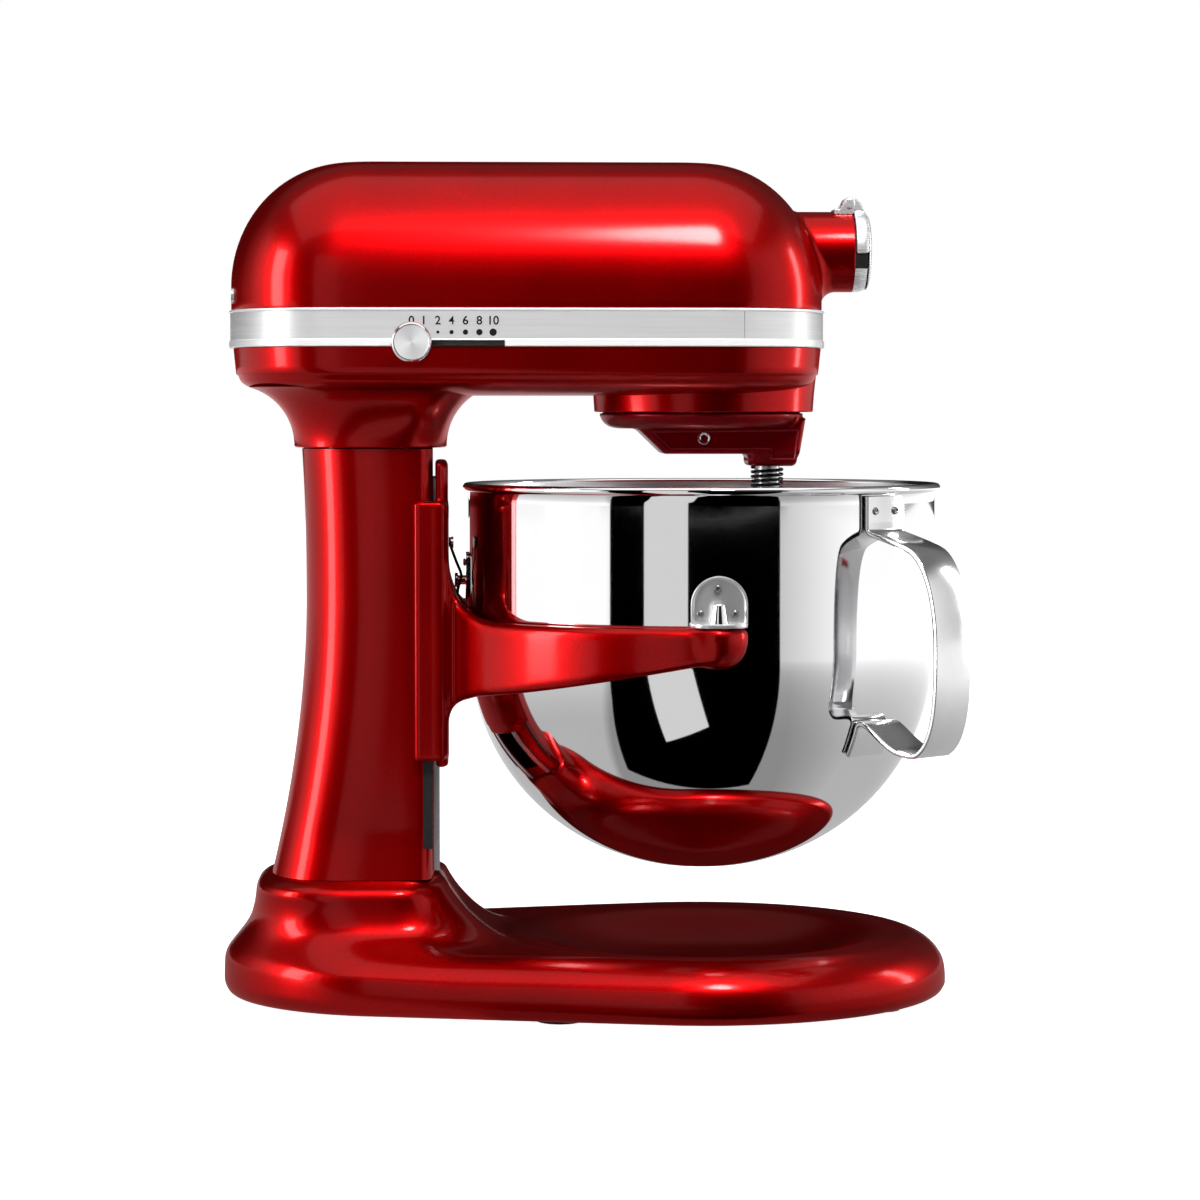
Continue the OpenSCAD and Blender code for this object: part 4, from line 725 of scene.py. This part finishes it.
def printed(label, centre_x):
    """A printed figure lying on the trim band."""
    curve = bpy.data.curves.new("figure_" + label, "FONT")
    curve.body, curve.size = label, FIGURE_H * MM * 1.38
    curve.align_x, curve.align_y = "CENTER", "CENTER"
    curve.extrude = 0.03 * MM
    curve.offset = (0.03 if label == "4" else 0.1) * MM
    made = linked("figure_" + label, curve)
    bpy.context.view_layer.update()
    mesh = bpy.data.meshes.new_from_object(made.evaluated_get(bpy.context.evaluated_depsgraph_get()))
    bpy.data.objects.remove(made)
    low = min(v.co.z for v in mesh.vertices)
    verts = [(x / MM + centre_x, BAND_FACE_Y - (z - low) / MM, y / MM + FIGURE_Z)
             for x, y, z in (v.co for v in mesh.vertices)]
    faces = [tuple(p.vertices) for p in mesh.polygons]
    bpy.data.meshes.remove(mesh)
    return verts, faces


figures = [printed(label, x) for label, x, _ in SCALE_MARKS]
dots = [turned([(0, -0.02), (r, -0.02), (r, 0.05), (0, 0.05)], (x, BAND_FACE_Y, DOT_Z), (0, -1, 0), 32)
        for _, x, r in SCALE_MARKS if r]
piece("speed_scale_print", joined(*figures, *dots), "stand", print_black, slot="black_plastic")
lips = [loft([[(KNOB_X + u, y, KNOB_Z + v) for u, v in ((-4.6, low), (44.6, low), (44.6, high), (-4.6, high))]
              for y in (-HEAD_HALF - out, -HEAD_HALF + 2.8)])
        for low, high, out in ((-1.78, -1.25, 1.0), (0.65, 1.18, 0.4))]
piece("speed_slot_lips", joined(*lips), "stand", black_plastic, slot="black_plastic")


# ---- planetary ----
ORBIT, DISC_R, RECESS_R = 33.5, 51.8, 50.6
DISC_LOW, DISC_TOP, BAR_LOW, BOSS_LOW, JOIN_Z = -16.6, -8.9, -29.3, -35.5, -12
BAR_HALF, BOSS_HALF, PANEL_HALF = 20, 17.5, 19.1
LIP_IN, LIP_OUT, LIP_TOP = 47.0, 49.7, -7.5
SKIRT_HALF, SKIRT_LOW = 54.5, 294.6
PANEL = [(-25.8, -18.2), (-16.8, -26.6), (33.9, -26.6), (33.9, -31.8), (45.3, -31.8), (47.4, -17.4)]


def planetary_field(x, y, z):
    """Disc, bar and boss with a sunk panel on each side, and the thin lip above the disc."""
    u, v, side = x - BOWL_X, z - HEAD_LOW, np.abs(y)
    r = np.hypot(u, y)
    disc = smax(smax(r - DISC_R, DISC_LOW - v, 11), v - DISC_TOP, 1)
    left = -0.697 * (u + 33.6) - 0.718 * (v + 16)
    right = 0.986 * (u - 50.3) - 0.166 * (v + 16)
    bar = smax(smax(left, BAR_LOW - v, 0.9), np.maximum(right, v - JOIN_Z), 1.5)
    bar = smax(bar, side - BAR_HALF, 3)
    boss = smax(smax(22.6 - u, right, 3), BOSS_LOW - v, 3)
    boss = smax(np.maximum(boss, v - JOIN_Z), side - BOSS_HALF, 6)
    whole = smin(smin(bar, boss, 2.5), disc, 1.6)
    panel = np.maximum(shape_field(u, v, PANEL), PANEL_HALF - side)
    lip = np.maximum(r - LIP_OUT, np.maximum(v - LIP_TOP, JOIN_Z - v))
    return np.minimum(smax(whole, -panel, 0.5), np.maximum(lip, LIP_IN - r))


def skirt_ring(z, out):
    """Outline of the gearcase round the planetary."""
    return plan_ring(BOWL_X - 54 - out, 114.6 + out, SKIRT_HALF + out, 54, 56, 2.1, z, k=60, sides=8)


piece("planetary_body", fused(planetary_field, (5.5, -52.8, 266.5), (111, 52.8, 296.4), 0.85),
      "planetary", planetary_red, ("planetary_housing",), crease=180, slot="planetary_red")
# The panel beads wear the lighter lacquer as a painted highlight along the panel edges.
beads = [tube([(BOWL_X + u, y, HEAD_LOW + v) for u, v in PANEL + PANEL[:1]], 0.42, 8) for y in (-19.75, 19.75)]
piece("planetary_panel_beads", joined(*beads), "planetary", planetary_bead_highlight, slot="planetary_red")
hole = [[(BOWL_X + RECESS_R * cos(a), RECESS_R * sin(a), z) for a in
         (atan2(y / SKIRT_HALF, (x - 60.0) / 55) for x, y, _ in skirt_ring(z, 0))]
        for z in (HEAD_LOW, SKIRT_LOW)]
rings = [skirt_ring(z, out) for z, out in ((SKIRT_LOW, -0.7), (294.75, -0.3), (295.1, 0), (302.9, 0.5),
                                           (306, 0.8), (309, 1.1), (312.5, 1.5), (313.5, 0.6))]
piece("gearcase_ring", loft(rings + hole, closed=True),
      "stand", candy_red, ("gearcase_skirt",), slot="candy_red")
profile = [(0, 8.5), (1.75, 8.5), (1.75, 12.0), (2.3, 12.25), (2.9, 12.3), (3.2, 12.0), (3.2, 0), (0, 0)]
piece("socket_set_screw", turned(profile, (BOWL_X, -8.2, HEAD_LOW - 21.4), (0, -1, 0)),
      "planetary", strip_steel, ("set_screw",), slot="machined_steel")
COIL_R, COIL_Z, COIL_PITCH, COIL_turns = 7.55, 249.2, 2.35, 7.5
coil = [(BOWL_X + ORBIT + COIL_R * cos(a), COIL_R * sin(a), COIL_Z + COIL_PITCH * a / (2 * pi))
        for a in (2 * pi * i / 40 for i in range(int(40 * COIL_turns) + 1))]
profile = [(6.42, 247.4), (9.2, 247.4), (9.4, 247.6), (9.4, 248.7), (9.2, 248.9), (6.42, 248.9), (6.42, 247.4)]
washer = spin(profile, (BOWL_X + ORBIT, 0, 0), steps=64)
piece("coiled_spring", joined(tube(coil, 0.78), washer),
      "agitator", black_wire, ("agitator_spring",), slot="black_wire")


# ---- bowl support ----
PLATE_LOW, PLATE_TOP, WIDE_LOW, WIDE_TOP = 118.5, 270.5, 123.0, 250.6
NARROW_HALF, WIDE_HALF = 41, 53
ROOT_R, BALL_R = 24.0, 14.4
ARM_END_X, SEAT_Y, BALL_LOW = 57, 121, 172.4
PIN_X, PIN_Y = BOWL_X - 0.8, 127


def board(x, side, half, r):
    """Upright plate of a half width, with rounded front edges."""
    return smax(smax(side - half, x - PLATE_FRONT, r), PLATE_BACK - x, 0.8)


def yoke_field(x, y, z):
    """Sliding plate with its wings, two arms round the bowl with round seats, and the rails' grooves."""
    side = np.abs(y)
    narrow = smax(board(x, side, NARROW_HALF, 9), np.maximum(z - PLATE_TOP, PLATE_LOW - z), 2.5)
    wide = smax(board(x, side, WIDE_HALF, 9), np.maximum(z - WIDE_TOP, WIDE_LOW - z), 4)
    wing = block_field(x, side, z, (-86.5, 48.6, WIDE_LOW), (-72, WIDE_HALF, WIDE_TOP), 1.4)
    pad = block_field(x, y, z, (-92, -5.5, 196), (PLATE_BACK + 1.5, 5.5, 244), 0.6)
    r = np.hypot(x - BOWL_X, y)
    reach = np.clip(ROOT_R - (x - PLATE_FRONT), 0, ROOT_R)
    top = z - (SEAT_Z + ROOT_R - np.sqrt(ROOT_R ** 2 - reach ** 2 + 1))
    low = 155.5 + 0.184 * (x + 56) - np.maximum(0, -56 - x) * 0.25 - z
    arm = smax(smax(r - ARM_OUT, ARM_IN - r, 0.5), smax(top * 0.8, low, 0.5), 4.5)
    arm = smax(arm, np.maximum(x - ARM_END_X, 26 - side), 2)
    ball = np.hypot(x - 57.3, side - SEAT_Y) - BALL_R
    ball = smax(smax(ball, z - SEAT_Z, 4), BALL_LOW - z, 16)
    ball = smax(ball, ARM_IN - 0.9 - r, 2.5)
    whole = smin(smin(smin(narrow, wide, 1.5), wing, 1), pad, 0.5)
    whole = smin(smin(whole, arm, 9), ball, 3)
    rail = block_field(x, side, z, (-80, 18.5, 100.5), (-73.8, 27.5, 280.5), 0.4)
    return np.maximum(smax(smax(whole, -rail, 0.4), ARM_IN - 1.0 - r, 0.8), side - 135.3)


piece("bowl_support_body", fused(yoke_field, (-92.5, -136, 117.5), (72.5, 136, 271.5), 1.5),
      "bowl_lift", candy_red, ("bowl_support",), crease=180, slot="candy_red")
profile = [(0, -9.5), (2.95, -9.5), (2.95, 0), (4.5, 0), (4.6, 0.3), (4.6, 1.0), (2.9, 10.4), (2.75, 11.2),
           (2.2, 11.8), (1.2, 12.1), (0, 12.2)]
piece("cone_pins", joined(*(turned(profile, (PIN_X, PIN_Y * s, SEAT_Z), (0, 0, 1)) for s in (-1, 1))),
      "bowl_lift", strip_steel, ("locating_pins",), slot="machined_steel")


def smooth_path(points, per):
    """Rounded path through points in the plane."""
    out = []
    for i in range(len(points) - 1):
        p = [Vector(points[max(0, min(len(points) - 1, i + k))]) for k in (-1, 0, 1, 2)]
        for t in (j / per for j in range(per)):
            out.append(tuple(0.5 * ((2 * p[1]) + (p[2] - p[0]) * t
                                    + (2 * p[0] - 5 * p[1] + 4 * p[2] - p[3]) * t * t
                                    + (3 * p[1] - p[0] - 3 * p[2] + p[3]) * t ** 3)))
    return out + [tuple(points[-1])]


path = smooth_path([(0.9, 1.6), (1.5, -2.0), (4.2, -9.5), (6.6, -15.6), (6.4, -18.5), (5.0, -24),
                    (4.0, -33.6)], 6)
wires = [tube([(PLATE_FRONT + u, 5.1 * s, 229 + v) for u, v in path], 0.72) for s in (-1, 1)]
plate = loft([[(PLATE_FRONT + out, a, b + 229.2) for a, b in round_box(11.4 - i * 2, 4.6 - i * 2, 1.0 - i * 0.5)]
              for out, i in ((0, 0), (1.1, 0), (1.4, 0.2))])
piece("latch_spring_wire", joined(*wires, plate), "bowl_lift", black_wire, ("spring_latch",), slot="black_wire")


# ---- bowl fittings ----
HANDLE_TURN, HANDLE_W, HANDLE_T = radians(43.5 - 90), 26.0, 2.4
LUG_HALF, LUG_LOW, LUG_SPRING = 13.4, 193.2, 203.5
SHELF_HALF, SHELF_OUT, SHELF_LOW, SHELF_TOP = 13.5, 16.9, 192.92, 194.9


def wall_point(azimuth, u, out, z):
    """Place on the bowl's straight wall: u along it from an azimuth, and out from it."""
    a = radians(azimuth) + u / BOWL_R
    return (BOWL_X + (BOWL_R + out) * cos(a), (BOWL_R + out) * sin(a), z)


def lug_outline(inset, k=24):
    """Arched plate outline, drawn in by an inset: (along the wall, height)."""
    w, low = LUG_HALF - inset, LUG_LOW + inset
    sides = [low + (LUG_SPRING - low) * i / 3 for i in (1, 2)]
    top = [(w * cos(pi * i / k), LUG_SPRING + w * sin(pi * i / k)) for i in range(k + 1)]
    return [(-w + 2 * w * i / 6, low) for i in range(7)] + [(w, z) for z in sides] + top \
        + [(-w, z) for z in sides[::-1]]


def side_bracket(s):
    """Arched plate on the bowl's wall with a shelf that sits over the pin."""
    layers = ((0, 0.1), (0, 1.7), (0.3, 2.0), (0.9, 2.0), (1.15, 1.75), (1.35, 1.2))
    rings = [[wall_point(90 * s, u, out, z) for u, z in lug_outline(inset)] for inset, out in layers]
    rings += [[wall_point(90 * s, u * share, 1.2, 202 + (z - 202) * share) for u, z in lug_outline(1.35)]
              for share in (0.75, 0.5, 0.25, 0.05)]
    shelf = [(PIN_X + SHELF_HALF * t, s * (BOWL_R + SHELF_OUT - 7.5 * abs(t) ** 4.5))
             for t in (-1 + 2 * i / 24 for i in range(25))]
    shelf += [(PIN_X + SHELF_HALF * t, s * (sqrt(BOWL_R ** 2 - (SHELF_HALF * t - 0.8) ** 2) + 0.15))
              for t in (1, 0.6, 0.2, -0.2, -0.6, -1)]
    return joined(loft(rings), loft([[(x, y, z) for x, y in shelf] for z in (SHELF_LOW, SHELF_TOP)]))


brackets = piece("bowl_side_brackets", joined(side_bracket(-1), side_bracket(1)),
                 "bowl", bracket_steel, ("side_brackets",), slot="machined_steel")
modified(brackets, "BEVEL", width=0.35 * MM, segments=2, limit_method="ANGLE", angle_limit=radians(50))
brackets.data.set_sharp_from_angle(angle=radians(32))

clip = []
for inset, out in ((0, 0.1), (0, 1.3), (0.35, 1.6), (3, 1.6), (7, 1.6), (10.5, 1.6)):
    less = 2 * min(inset, 10.4)
    clip.append([wall_point(180, a, out, b + 209)
                 for a, b in round_box(22 - less, 30 - less, max(0.25, 3 - inset * 0.27))])
profile = [(0, 1), (2.4, 1), (2.4, 5.2), (3.5, 5.3), (3.7, 5.6), (3.7, 6.5), (3.4, 6.9), (2.4, 7.0), (0, 7.0)]
stud = turned(profile, (BOWL_X - BOWL_R, 0, 210), (-1, 0, 0))
piece("rear_clip", joined(loft(clip), stud), "bowl", strip_steel, ("rear_bracket",), slot="machined_steel")


def strap_point(a):
    """Place on the handle's grip, from 90 at its top to -90 at its foot: (from the bowl's axis, height)."""
    n = 2.2 if a > 0 else 3
    c, q = radians(a), 2 / n
    return (138 + 25 * cos(c) ** q, 179.8 + copysign(52.2 * abs(sin(c)) ** q, a))


def wall_at(z):
    """Radius of the strap's middle where it lies on the bowl."""
    return bowl_at(z) + 0.25 + HANDLE_T


def strap():
    """Flat strap bent from the rim out to the grip and back under it to the wall."""
    line = [(wall_at(254), z) for z in (254, 250, 246, 242)]
    line += [(wall_at(240) + 2 + 2 * cos(radians(a)), 239 + 2 * sin(radians(a))) for a in range(180, 256, 15)]
    line += [strap_point(a) for a in (82, 76, *range(70, 0, -5), 0.01, *range(-5, -50, -5), *range(-50, -71, -4),
                                      -73, -76)]
    line += smooth_path([(138.2, 129.7), (129.8, 134), (121.3, 140.1), (117, 142.6), (114.6, 142.4),
                         *((wall_at(z), z) for z in (139, 133, 127.5))], 4)
    smooth = line
    for _ in range(2):
        smooth = [smooth[0]] + [tuple((a[k] + 2 * b[k] + c[k]) / 4 for k in (0, 1))
                                for a, b, c in zip(smooth, smooth[1:], smooth[2:])] + [smooth[-1]]
    line = line[:9] + smooth[9:-12] + line[-12:]
    rings = []
    for before, p, after in zip(line[:1] + line, line, line[1:] + line[-1:]):
        d = Vector(after) - Vector(before)
        d.normalize()
        inward = Vector((d[1], -d[0]))
        ring = []
        for across, depth in round_box(HANDLE_W, HANDLE_T, 0.55, 3):
            r, z = Vector(p) + inward * (HANDLE_T / 2 - depth)
            ring.append((BOWL_X + r * cos(HANDLE_TURN) - across * sin(HANDLE_TURN),
                         r * sin(HANDLE_TURN) + across * cos(HANDLE_TURN), z))
        rings.append(ring)
    return loft(rings)


piece("strap_handle", strap(), "bowl", handle_steel, ("bowl_handle",), slot="polished_bowl")

profile = [(0, 0.3), (0.5, 0.35), (0.9, 0.9), (1.3, 1.0), (1.7, 0.75), (1.9, 0.3), (1.9, -0.1), (1.2, -0.1),
           (1.2, -2.0), (0, -2.0)]
places = []
for azimuth in (-90, 90):
    for u, z in ((-9, 199), (7.4, 199), (-0.8, 211)):
        a = radians(azimuth) + u / BOWL_R
        places.append((wall_point(azimuth, u, 1.9, z), (cos(a), sin(a), 0)))
places += [(wall_point(180, 0, 1.7, z), (-1, 0, 0)) for z in (199, 219)]
r, c, s = BOWL_R + 2.72, cos(HANDLE_TURN), sin(HANDLE_TURN)
places += [((BOWL_X + r * c - 7.5 * side * s, r * s + 7.5 * side * c, 247), (c, s, 0)) for side in (-1, 1)]
piece("rivet_heads", joined(*(turned(profile, foot, facing, 24) for foot, facing in places)),
      "bowl", rivet_steel, ("bowl_rivets",), slot="machined_steel")


# ---- hub front ----
HINGE_X, HINGE_Z = 132.4, 399.4
CAP_FRONT, CAP_INNER_X, CAP_INNER_R = 142.8, 141.3, 19.1
EAR = [(134.9, HUB_Z + 18.4), (141.0, HUB_Z + 18.4), (140.6, 395.6), (139.4, 398.4), (137.9, 400.6),
       (136.2, 402.2), (134.2, 403.0), (132.4, 402.9), (130.0, 401.6), (128.95, 399.4), (129.8, 397.1),
       (131.6, 396.0), (134.2, 396.4), (135.0, 395.6)]
CHEEK = [(124.7, 392), (133.6, 392), (135.4, 399.4), (134.6, 401.6), (132.4, 402.6), (130.2, 401.6),
         (129.2, 399.4), (127.4, 396.6), (124.7, 396.5)]


def cover_field(x, y, z):
    """Hollow cap with a low lip, and its hinge ear with a pin hole."""
    v = z - HUB_Z
    r = np.hypot(y, v)
    body = smax(smax(r - HUB_R, x - CAP_FRONT, 5), HUB_FRONT + 0.55 - x, 0.4)
    body = smax(body, -smax(r - CAP_INNER_R, x - CAP_INNER_X, 0.5), 0.3)
    body = smax(body, np.where(x > 141.0, -5, -1.5 - v), 1.2)
    ear = smax(shape_field(x, z, EAR), np.abs(y) - 4.6, 1.0)
    return np.maximum(smin(body, ear, 1.0), 1.75 - np.hypot(x - HINGE_X, z - HINGE_Z))


def hinge_field(x, y, z):
    """Foot on the hub, two cheeks and the headed pin."""
    side, r = np.abs(y), np.hypot(x - HINGE_X, z - HINGE_Z)
    foot = block_field(x, y, z, (124.7, -8, 390), (127.6, 8, 396.7), 0.5)
    cheek = smax(shape_field(x, z, CHEEK), np.abs(side - 6.5) - 1.5, 0.5)
    pin = smax(r - 1.6, side - 8.6, 0.3)
    head = smax(r - 2.3, np.abs(side - 8.4) - 0.6, 0.3)
    return np.maximum(smin(np.minimum(foot, cheek), np.minimum(pin, head), 0.2),
                      HUB_R + 0.05 - np.hypot(y, z - HUB_Z))


profile = [(17.7, HUB_FRONT), (18.9, HUB_FRONT), (18.9, 140.2), (18.5, 140.6), (17.7, 140.6), (17.7, HUB_FRONT)]
piece("hub_seal", spin(profile, (0, 0, HUB_Z), "x"), "stand", black_plastic, ("hub_ring",), slot="black_plastic")
profile = ((HUB_FRONT, 18.95), (HUB_FRONT, HUB_R), (137, HUB_R - 0.1), (139.9, HUB_R - 0.7),
           (140.4, HUB_R - 1.0), (140.5, 18.95))
rings = [[(x, r * cos(a), HUB_Z + r * sin(a)) for x, r in profile]
         for a in (radians(-152.5 + 125 * i / 48) for i in range(49))]
piece("hub_lower_rim", loft(rings), "stand", hub_steel, ("hub_rim",), slot="polished_trim")
piece("hub_cover_cap", fused(cover_field, (128.5, -20.6, 354.6), (143.2, 20.6, 403.4), 0.5),
      "hub_cover", hub_steel, ("hub_cover",), crease=180, slot="polished_trim")
piece("hinge_knuckle", fused(hinge_field, (124.2, -9.4, 390), (136, 9.4, 403.2), 0.45),
      "stand", hub_steel, ("hinge_bracket",), crease=35, slot="polished_trim")

SCREW_X, SCREW_R, LOBES, LOBE = 125, 8.1, 6, 0.95
lobes = [(r * cos(t) + SCREW_X, r * sin(t) + HUB_Z)
         for r, t in ((SCREW_R + LOBE * cos(LOBES * t), t) for t in (2 * pi * i / 144 for i in range(144)))]
rings = [[(SCREW_X + (a - SCREW_X) * k, y, HUB_Z + (b - HUB_Z) * k) for a, b in lobes]
         for y, k in ((25.2, 0.9), (25.6, 0.97), (26.2, 1.0), (33.4, 1.0), (34.2, 0.97), (34.7, 0.9),
                      (34.9, 0.72), (34.6, 0.6), (34.5, 0.3), (34.5, 0.02))]
neck = turned([(0, -0.4), (2.45, -0.4), (2.45, 4.2), (4.7, 4.4), (5, 4.7), (5, 7.8), (0, 7.8)],
              (SCREW_X, 18.4, HUB_Z), (0, 1, 0))
piece("thumb_screw_knob", joined(loft(rings), neck),
      "hub_screw", black_plastic, ("hub_thumb_screw",), slot="black_plastic")


# ---- lift lever ----
LIFT_X, LIFT_Z, LEVER_LEN, LEVER_Y = -98.0, 200.0, 80.0, 57
LEVER_HALF, LEVER_TAPER, LEVER_TIP_R, LEVER_HUB_R, PEG_R = 9.6, 4.0, 6.4, 11, 3.4


def lever_field(x, y, z):
    """Tapered blade with a round hub and a peg for the knob."""
    u, v, off = x - LIFT_X, z - LIFT_Z, np.abs(y - LEVER_Y)
    w = LEVER_HALF - LEVER_TAPER * np.clip(v / LEVER_LEN, 0, 1)
    blade = np.maximum(np.abs(u) - w, np.maximum(-v, v - LEVER_LEN))
    tip = np.hypot(u, v - LEVER_LEN) - LEVER_TIP_R
    blade = smax(smin(blade, tip, 4), off - 4, 2)
    hub = smax(np.hypot(u, v) - LEVER_HUB_R, off - 6, 2)
    peg = smax(np.hypot(u, v - LEVER_LEN) - PEG_R, np.maximum(y - 74, 58 - y), 0.3)
    return np.minimum(smin(blade, hub, 4), peg)


piece("lift_lever_arm", fused(lever_field, (-110, 50.5, 188.5), (-86, 74.5, 287), 1.0),
      "lift_lever", strip_steel, ("lift_lever",), crease=180, slot="machined_steel")
grip = smooth_path([(0.02, 0), (5.2, 0.1), (6.4, 0.5), (7.5, 1.7), (8.6, 5), (10.4, 9.5), (11, 14), (10.6, 18.5),
                    (8.8, 22), (5.5, 24.4), (0.02, 25)], 4)
profile = [(0, 12.9), (3.42, 12.9), (3.42, 0)] + [(min(r, 11), h) for r, h in grip[4:-1]] + [(0, 25)]
piece("lever_grip", turned(profile, (LIFT_X, 61.2, LIFT_Z + LEVER_LEN), (0, 1, 0), 64),
      "lift_lever", black_plastic, ("lever_knob",), slot="black_plastic")


# ---- studio ----
camera = linked("front_camera", bpy.data.cameras.new("front_camera"))
camera.data.sensor_width = 36
camera.data.lens = 109.9
camera.location = (-0.0798, -1.85, 0.297)
camera.rotation_euler = (radians(90 - 3.01), 0, radians(-2.69))
bpy.context.scene.camera = camera
bpy.context.scene.view_settings.view_transform = "Standard"


def bare_tree(owner):
    """The emptied node tree of a material or a world."""
    owner.use_nodes = True
    owner.node_tree.nodes.clear()
    return owner.node_tree


def sheet(name, corners):
    """A flat thing of the studio through its corners, in metres, and its material's empty tree."""
    mesh = bpy.data.meshes.new(name)
    mesh.from_pydata(corners, [], [tuple(range(len(corners)))])
    mesh.materials.append(bpy.data.materials.new(name))
    made = linked(name, mesh)
    return made, bare_tree(mesh.materials[0])


def flag(name, corners, level):
    """A glowing or dark card that only glossy surfaces see."""
    made, tree = sheet(name, corners)
    glow = add(tree, "Emission", {"Strength": level}).outputs[0]
    send(tree, add(tree, "OutputMaterial").inputs, Surface=glow)
    made.visible_camera = made.visible_diffuse = made.visible_shadow = made.visible_transmission = False


def bearing(turn, up, reach):
    """Place at a bearing from straight in front (towards the right), at a height angle."""
    a, e = radians(turn), radians(up)
    return (BOWL_X * MM + reach * cos(e) * sin(a), -reach * cos(e) * cos(a), 0.22 + reach * sin(e))


def softbox(name, centre, target, size, watts):
    """An area light aimed at a target."""
    data = bpy.data.lights.new(name, "AREA")
    data.shape = "RECTANGLE"
    data.size, data.size_y = size
    data.energy = watts
    made = linked(name, data)
    made.location = centre
    made.rotation_euler = (Vector(target) - Vector(centre)).to_track_quat("-Z", "Y").to_euler()
    made.visible_camera = False
    return made


# The floor is white to the camera and chalk to diffuse light. Gloss sees it glow, more with distance and less
# between two bearings in front.
_, tree = sheet("floor", [(-8, -8, 0), (8, -8, 0), (8, 8, 0), (-8, 8, 0)])
rays = add(tree, "LightPath").outputs
chalk = add(tree, "BsdfDiffuse", {"Color": (0.86, 0.86, 0.86, 1)}).outputs[0]
white = add(tree, "Emission", {"Strength": 1.0}).outputs[0]
both = add(tree, "AddShader", {0: chalk, 1: white}).outputs[0]
place = add(tree, "NewGeometry").outputs["Position"]
reach = add(tree, "VectorMath", {0: place}, operation="LENGTH").outputs["Value"]
spot = add(tree, "SeparateXYZ", {0: place}).outputs
sideways, ahead = calc(tree, "SUBTRACT", spot["X"], BOWL_X * MM), calc(tree, "MULTIPLY", spot["Y"], -1.0)
swing = calc(tree, "ARCTAN2", sideways, ahead)
right = spread(tree, swing, 0.58, 1, radians(36), radians(74))
left = spread(tree, swing, 0, 1, radians(-40), radians(-50))
sheen = calc(tree, "MULTIPLY", spread(tree, reach, 0.52, 1.2, 0.3, 1.8), calc(tree, "MAXIMUM", right, left))
glow = add(tree, "Emission", {"Strength": sheen}).outputs[0]
polished = add(tree, "MixShader", {0: rays["Is Glossy Ray"], 1: chalk, 2: glow}).outputs[0]
shown = add(tree, "MixShader", {0: rays["Is Camera Ray"], 1: polished, 2: both}).outputs[0]
send(tree, add(tree, "OutputMaterial").inputs, Surface=shown)

# How bright the walls look in gloss, by bearing in degrees from straight in front, positive to the right.
WALLS = ((-180, 0.01), (-140, 0.02), (-122, 0.3), (-106, 1.1), (-66, 1.2), (-54, 1.0), (-53, 0.0), (8, 0.0),
         (12, 0.012), (23, 0.013), (24, 0.022), (37.5, 0.03), (38.5, 0.64), (56, 0.85), (76, 1.1), (96, 0.75),
         (120, 0.42), (140, 0.16), (180, 0.01))
CEILING = (0.2, 0.2, 0.2)
world = bpy.data.worlds.new("studio")
bpy.context.scene.world = world
tree = bare_tree(world)
toward = add(tree, "SeparateXYZ", {0: add(tree, "TexCoord").outputs["Generated"]}).outputs
swing = calc(tree, "ARCTAN2", toward["X"], calc(tree, "MULTIPLY", toward["Y"], -1.0))
walls = add(tree, "ValToRGB", {"Fac": spread(tree, swing, 0, 1, -pi, pi)})
ramp = walls.color_ramp
while len(ramp.elements) < len(WALLS):
    ramp.elements.new(0.5)
for element, (angle, _) in zip(ramp.elements, WALLS):
    element.position = (angle + 180) / 360
for element, (_, level) in zip(ramp.elements, WALLS):
    element.color = (level, level, level, 1)
height = spread(tree, toward["Z"], 0, 1, 0.42, 0.62)
height.node.interpolation_type = "SMOOTHSTEP"
room = tint(tree, height, walls.outputs["Color"], CEILING)
rays = add(tree, "LightPath").outputs
seen = calc(tree, "MAXIMUM", rays["Is Camera Ray"], rays["Is Transmission Ray"])
plain = tint(tree, seen, (0.3, 0.3, 0.3), (1, 1, 1))
sky = add(tree, "Background", {"Color": tint(tree, rays["Is Glossy Ray"], plain, room)}).outputs[0]
send(tree, add(tree, "OutputWorld").inputs, Surface=sky)

flag("dark_floor_cloth", [(-0.055, -0.128, 0.001), (-0.274, -0.335, 0.001), (-2.05, -1.9, 0.001),
                          (-7.9, -7.0, 0.001), (-7.9, -7.9, 0.001), (5.4, -7.9, 0.001), (1.64, -2.38, 0.001),
                          (0.156, -0.197, 0.001), (0.11, -0.128, 0.001)], 0.0)
flag("strip_panel", [(-0.604, -1.126, 0), (-0.179, -1.324, 0), (-0.179, -1.324, 1), (-0.604, -1.126, 1)], 0.75)
flag("strip_on_floor", [(-0.023, -0.225, 0.002), (0.055, -0.295, 0.002), (-0.093, -1.092, 0.002),
                        (-0.179, -1.324, 0.002), (-0.604, -1.126, 0.002), (-0.344, -0.746, 0.002)], 0.75)
softbox("top_softbox", (0, -0.2, 1.5), (0, 0, 0.2), (2.2, 1.5), 11)
left_light = softbox("left_softbox", bearing(-74, 12, 1.6), (-0.05, 0, 0.25), (0.42, 1.0), 17)
right_light = softbox("right_softbox", bearing(106, 12, 1.6), (0.05, 0, 0.25), (0.2, 0.9), 7)
left_light.visible_diffuse = right_light.visible_diffuse = False
upper_light = softbox("upper_softbox", bearing(8, 48, 1.7), (0.1, 0, 0.38), (0.26, 0.42), 20)
upper_light.data.shape = "ELLIPSE"
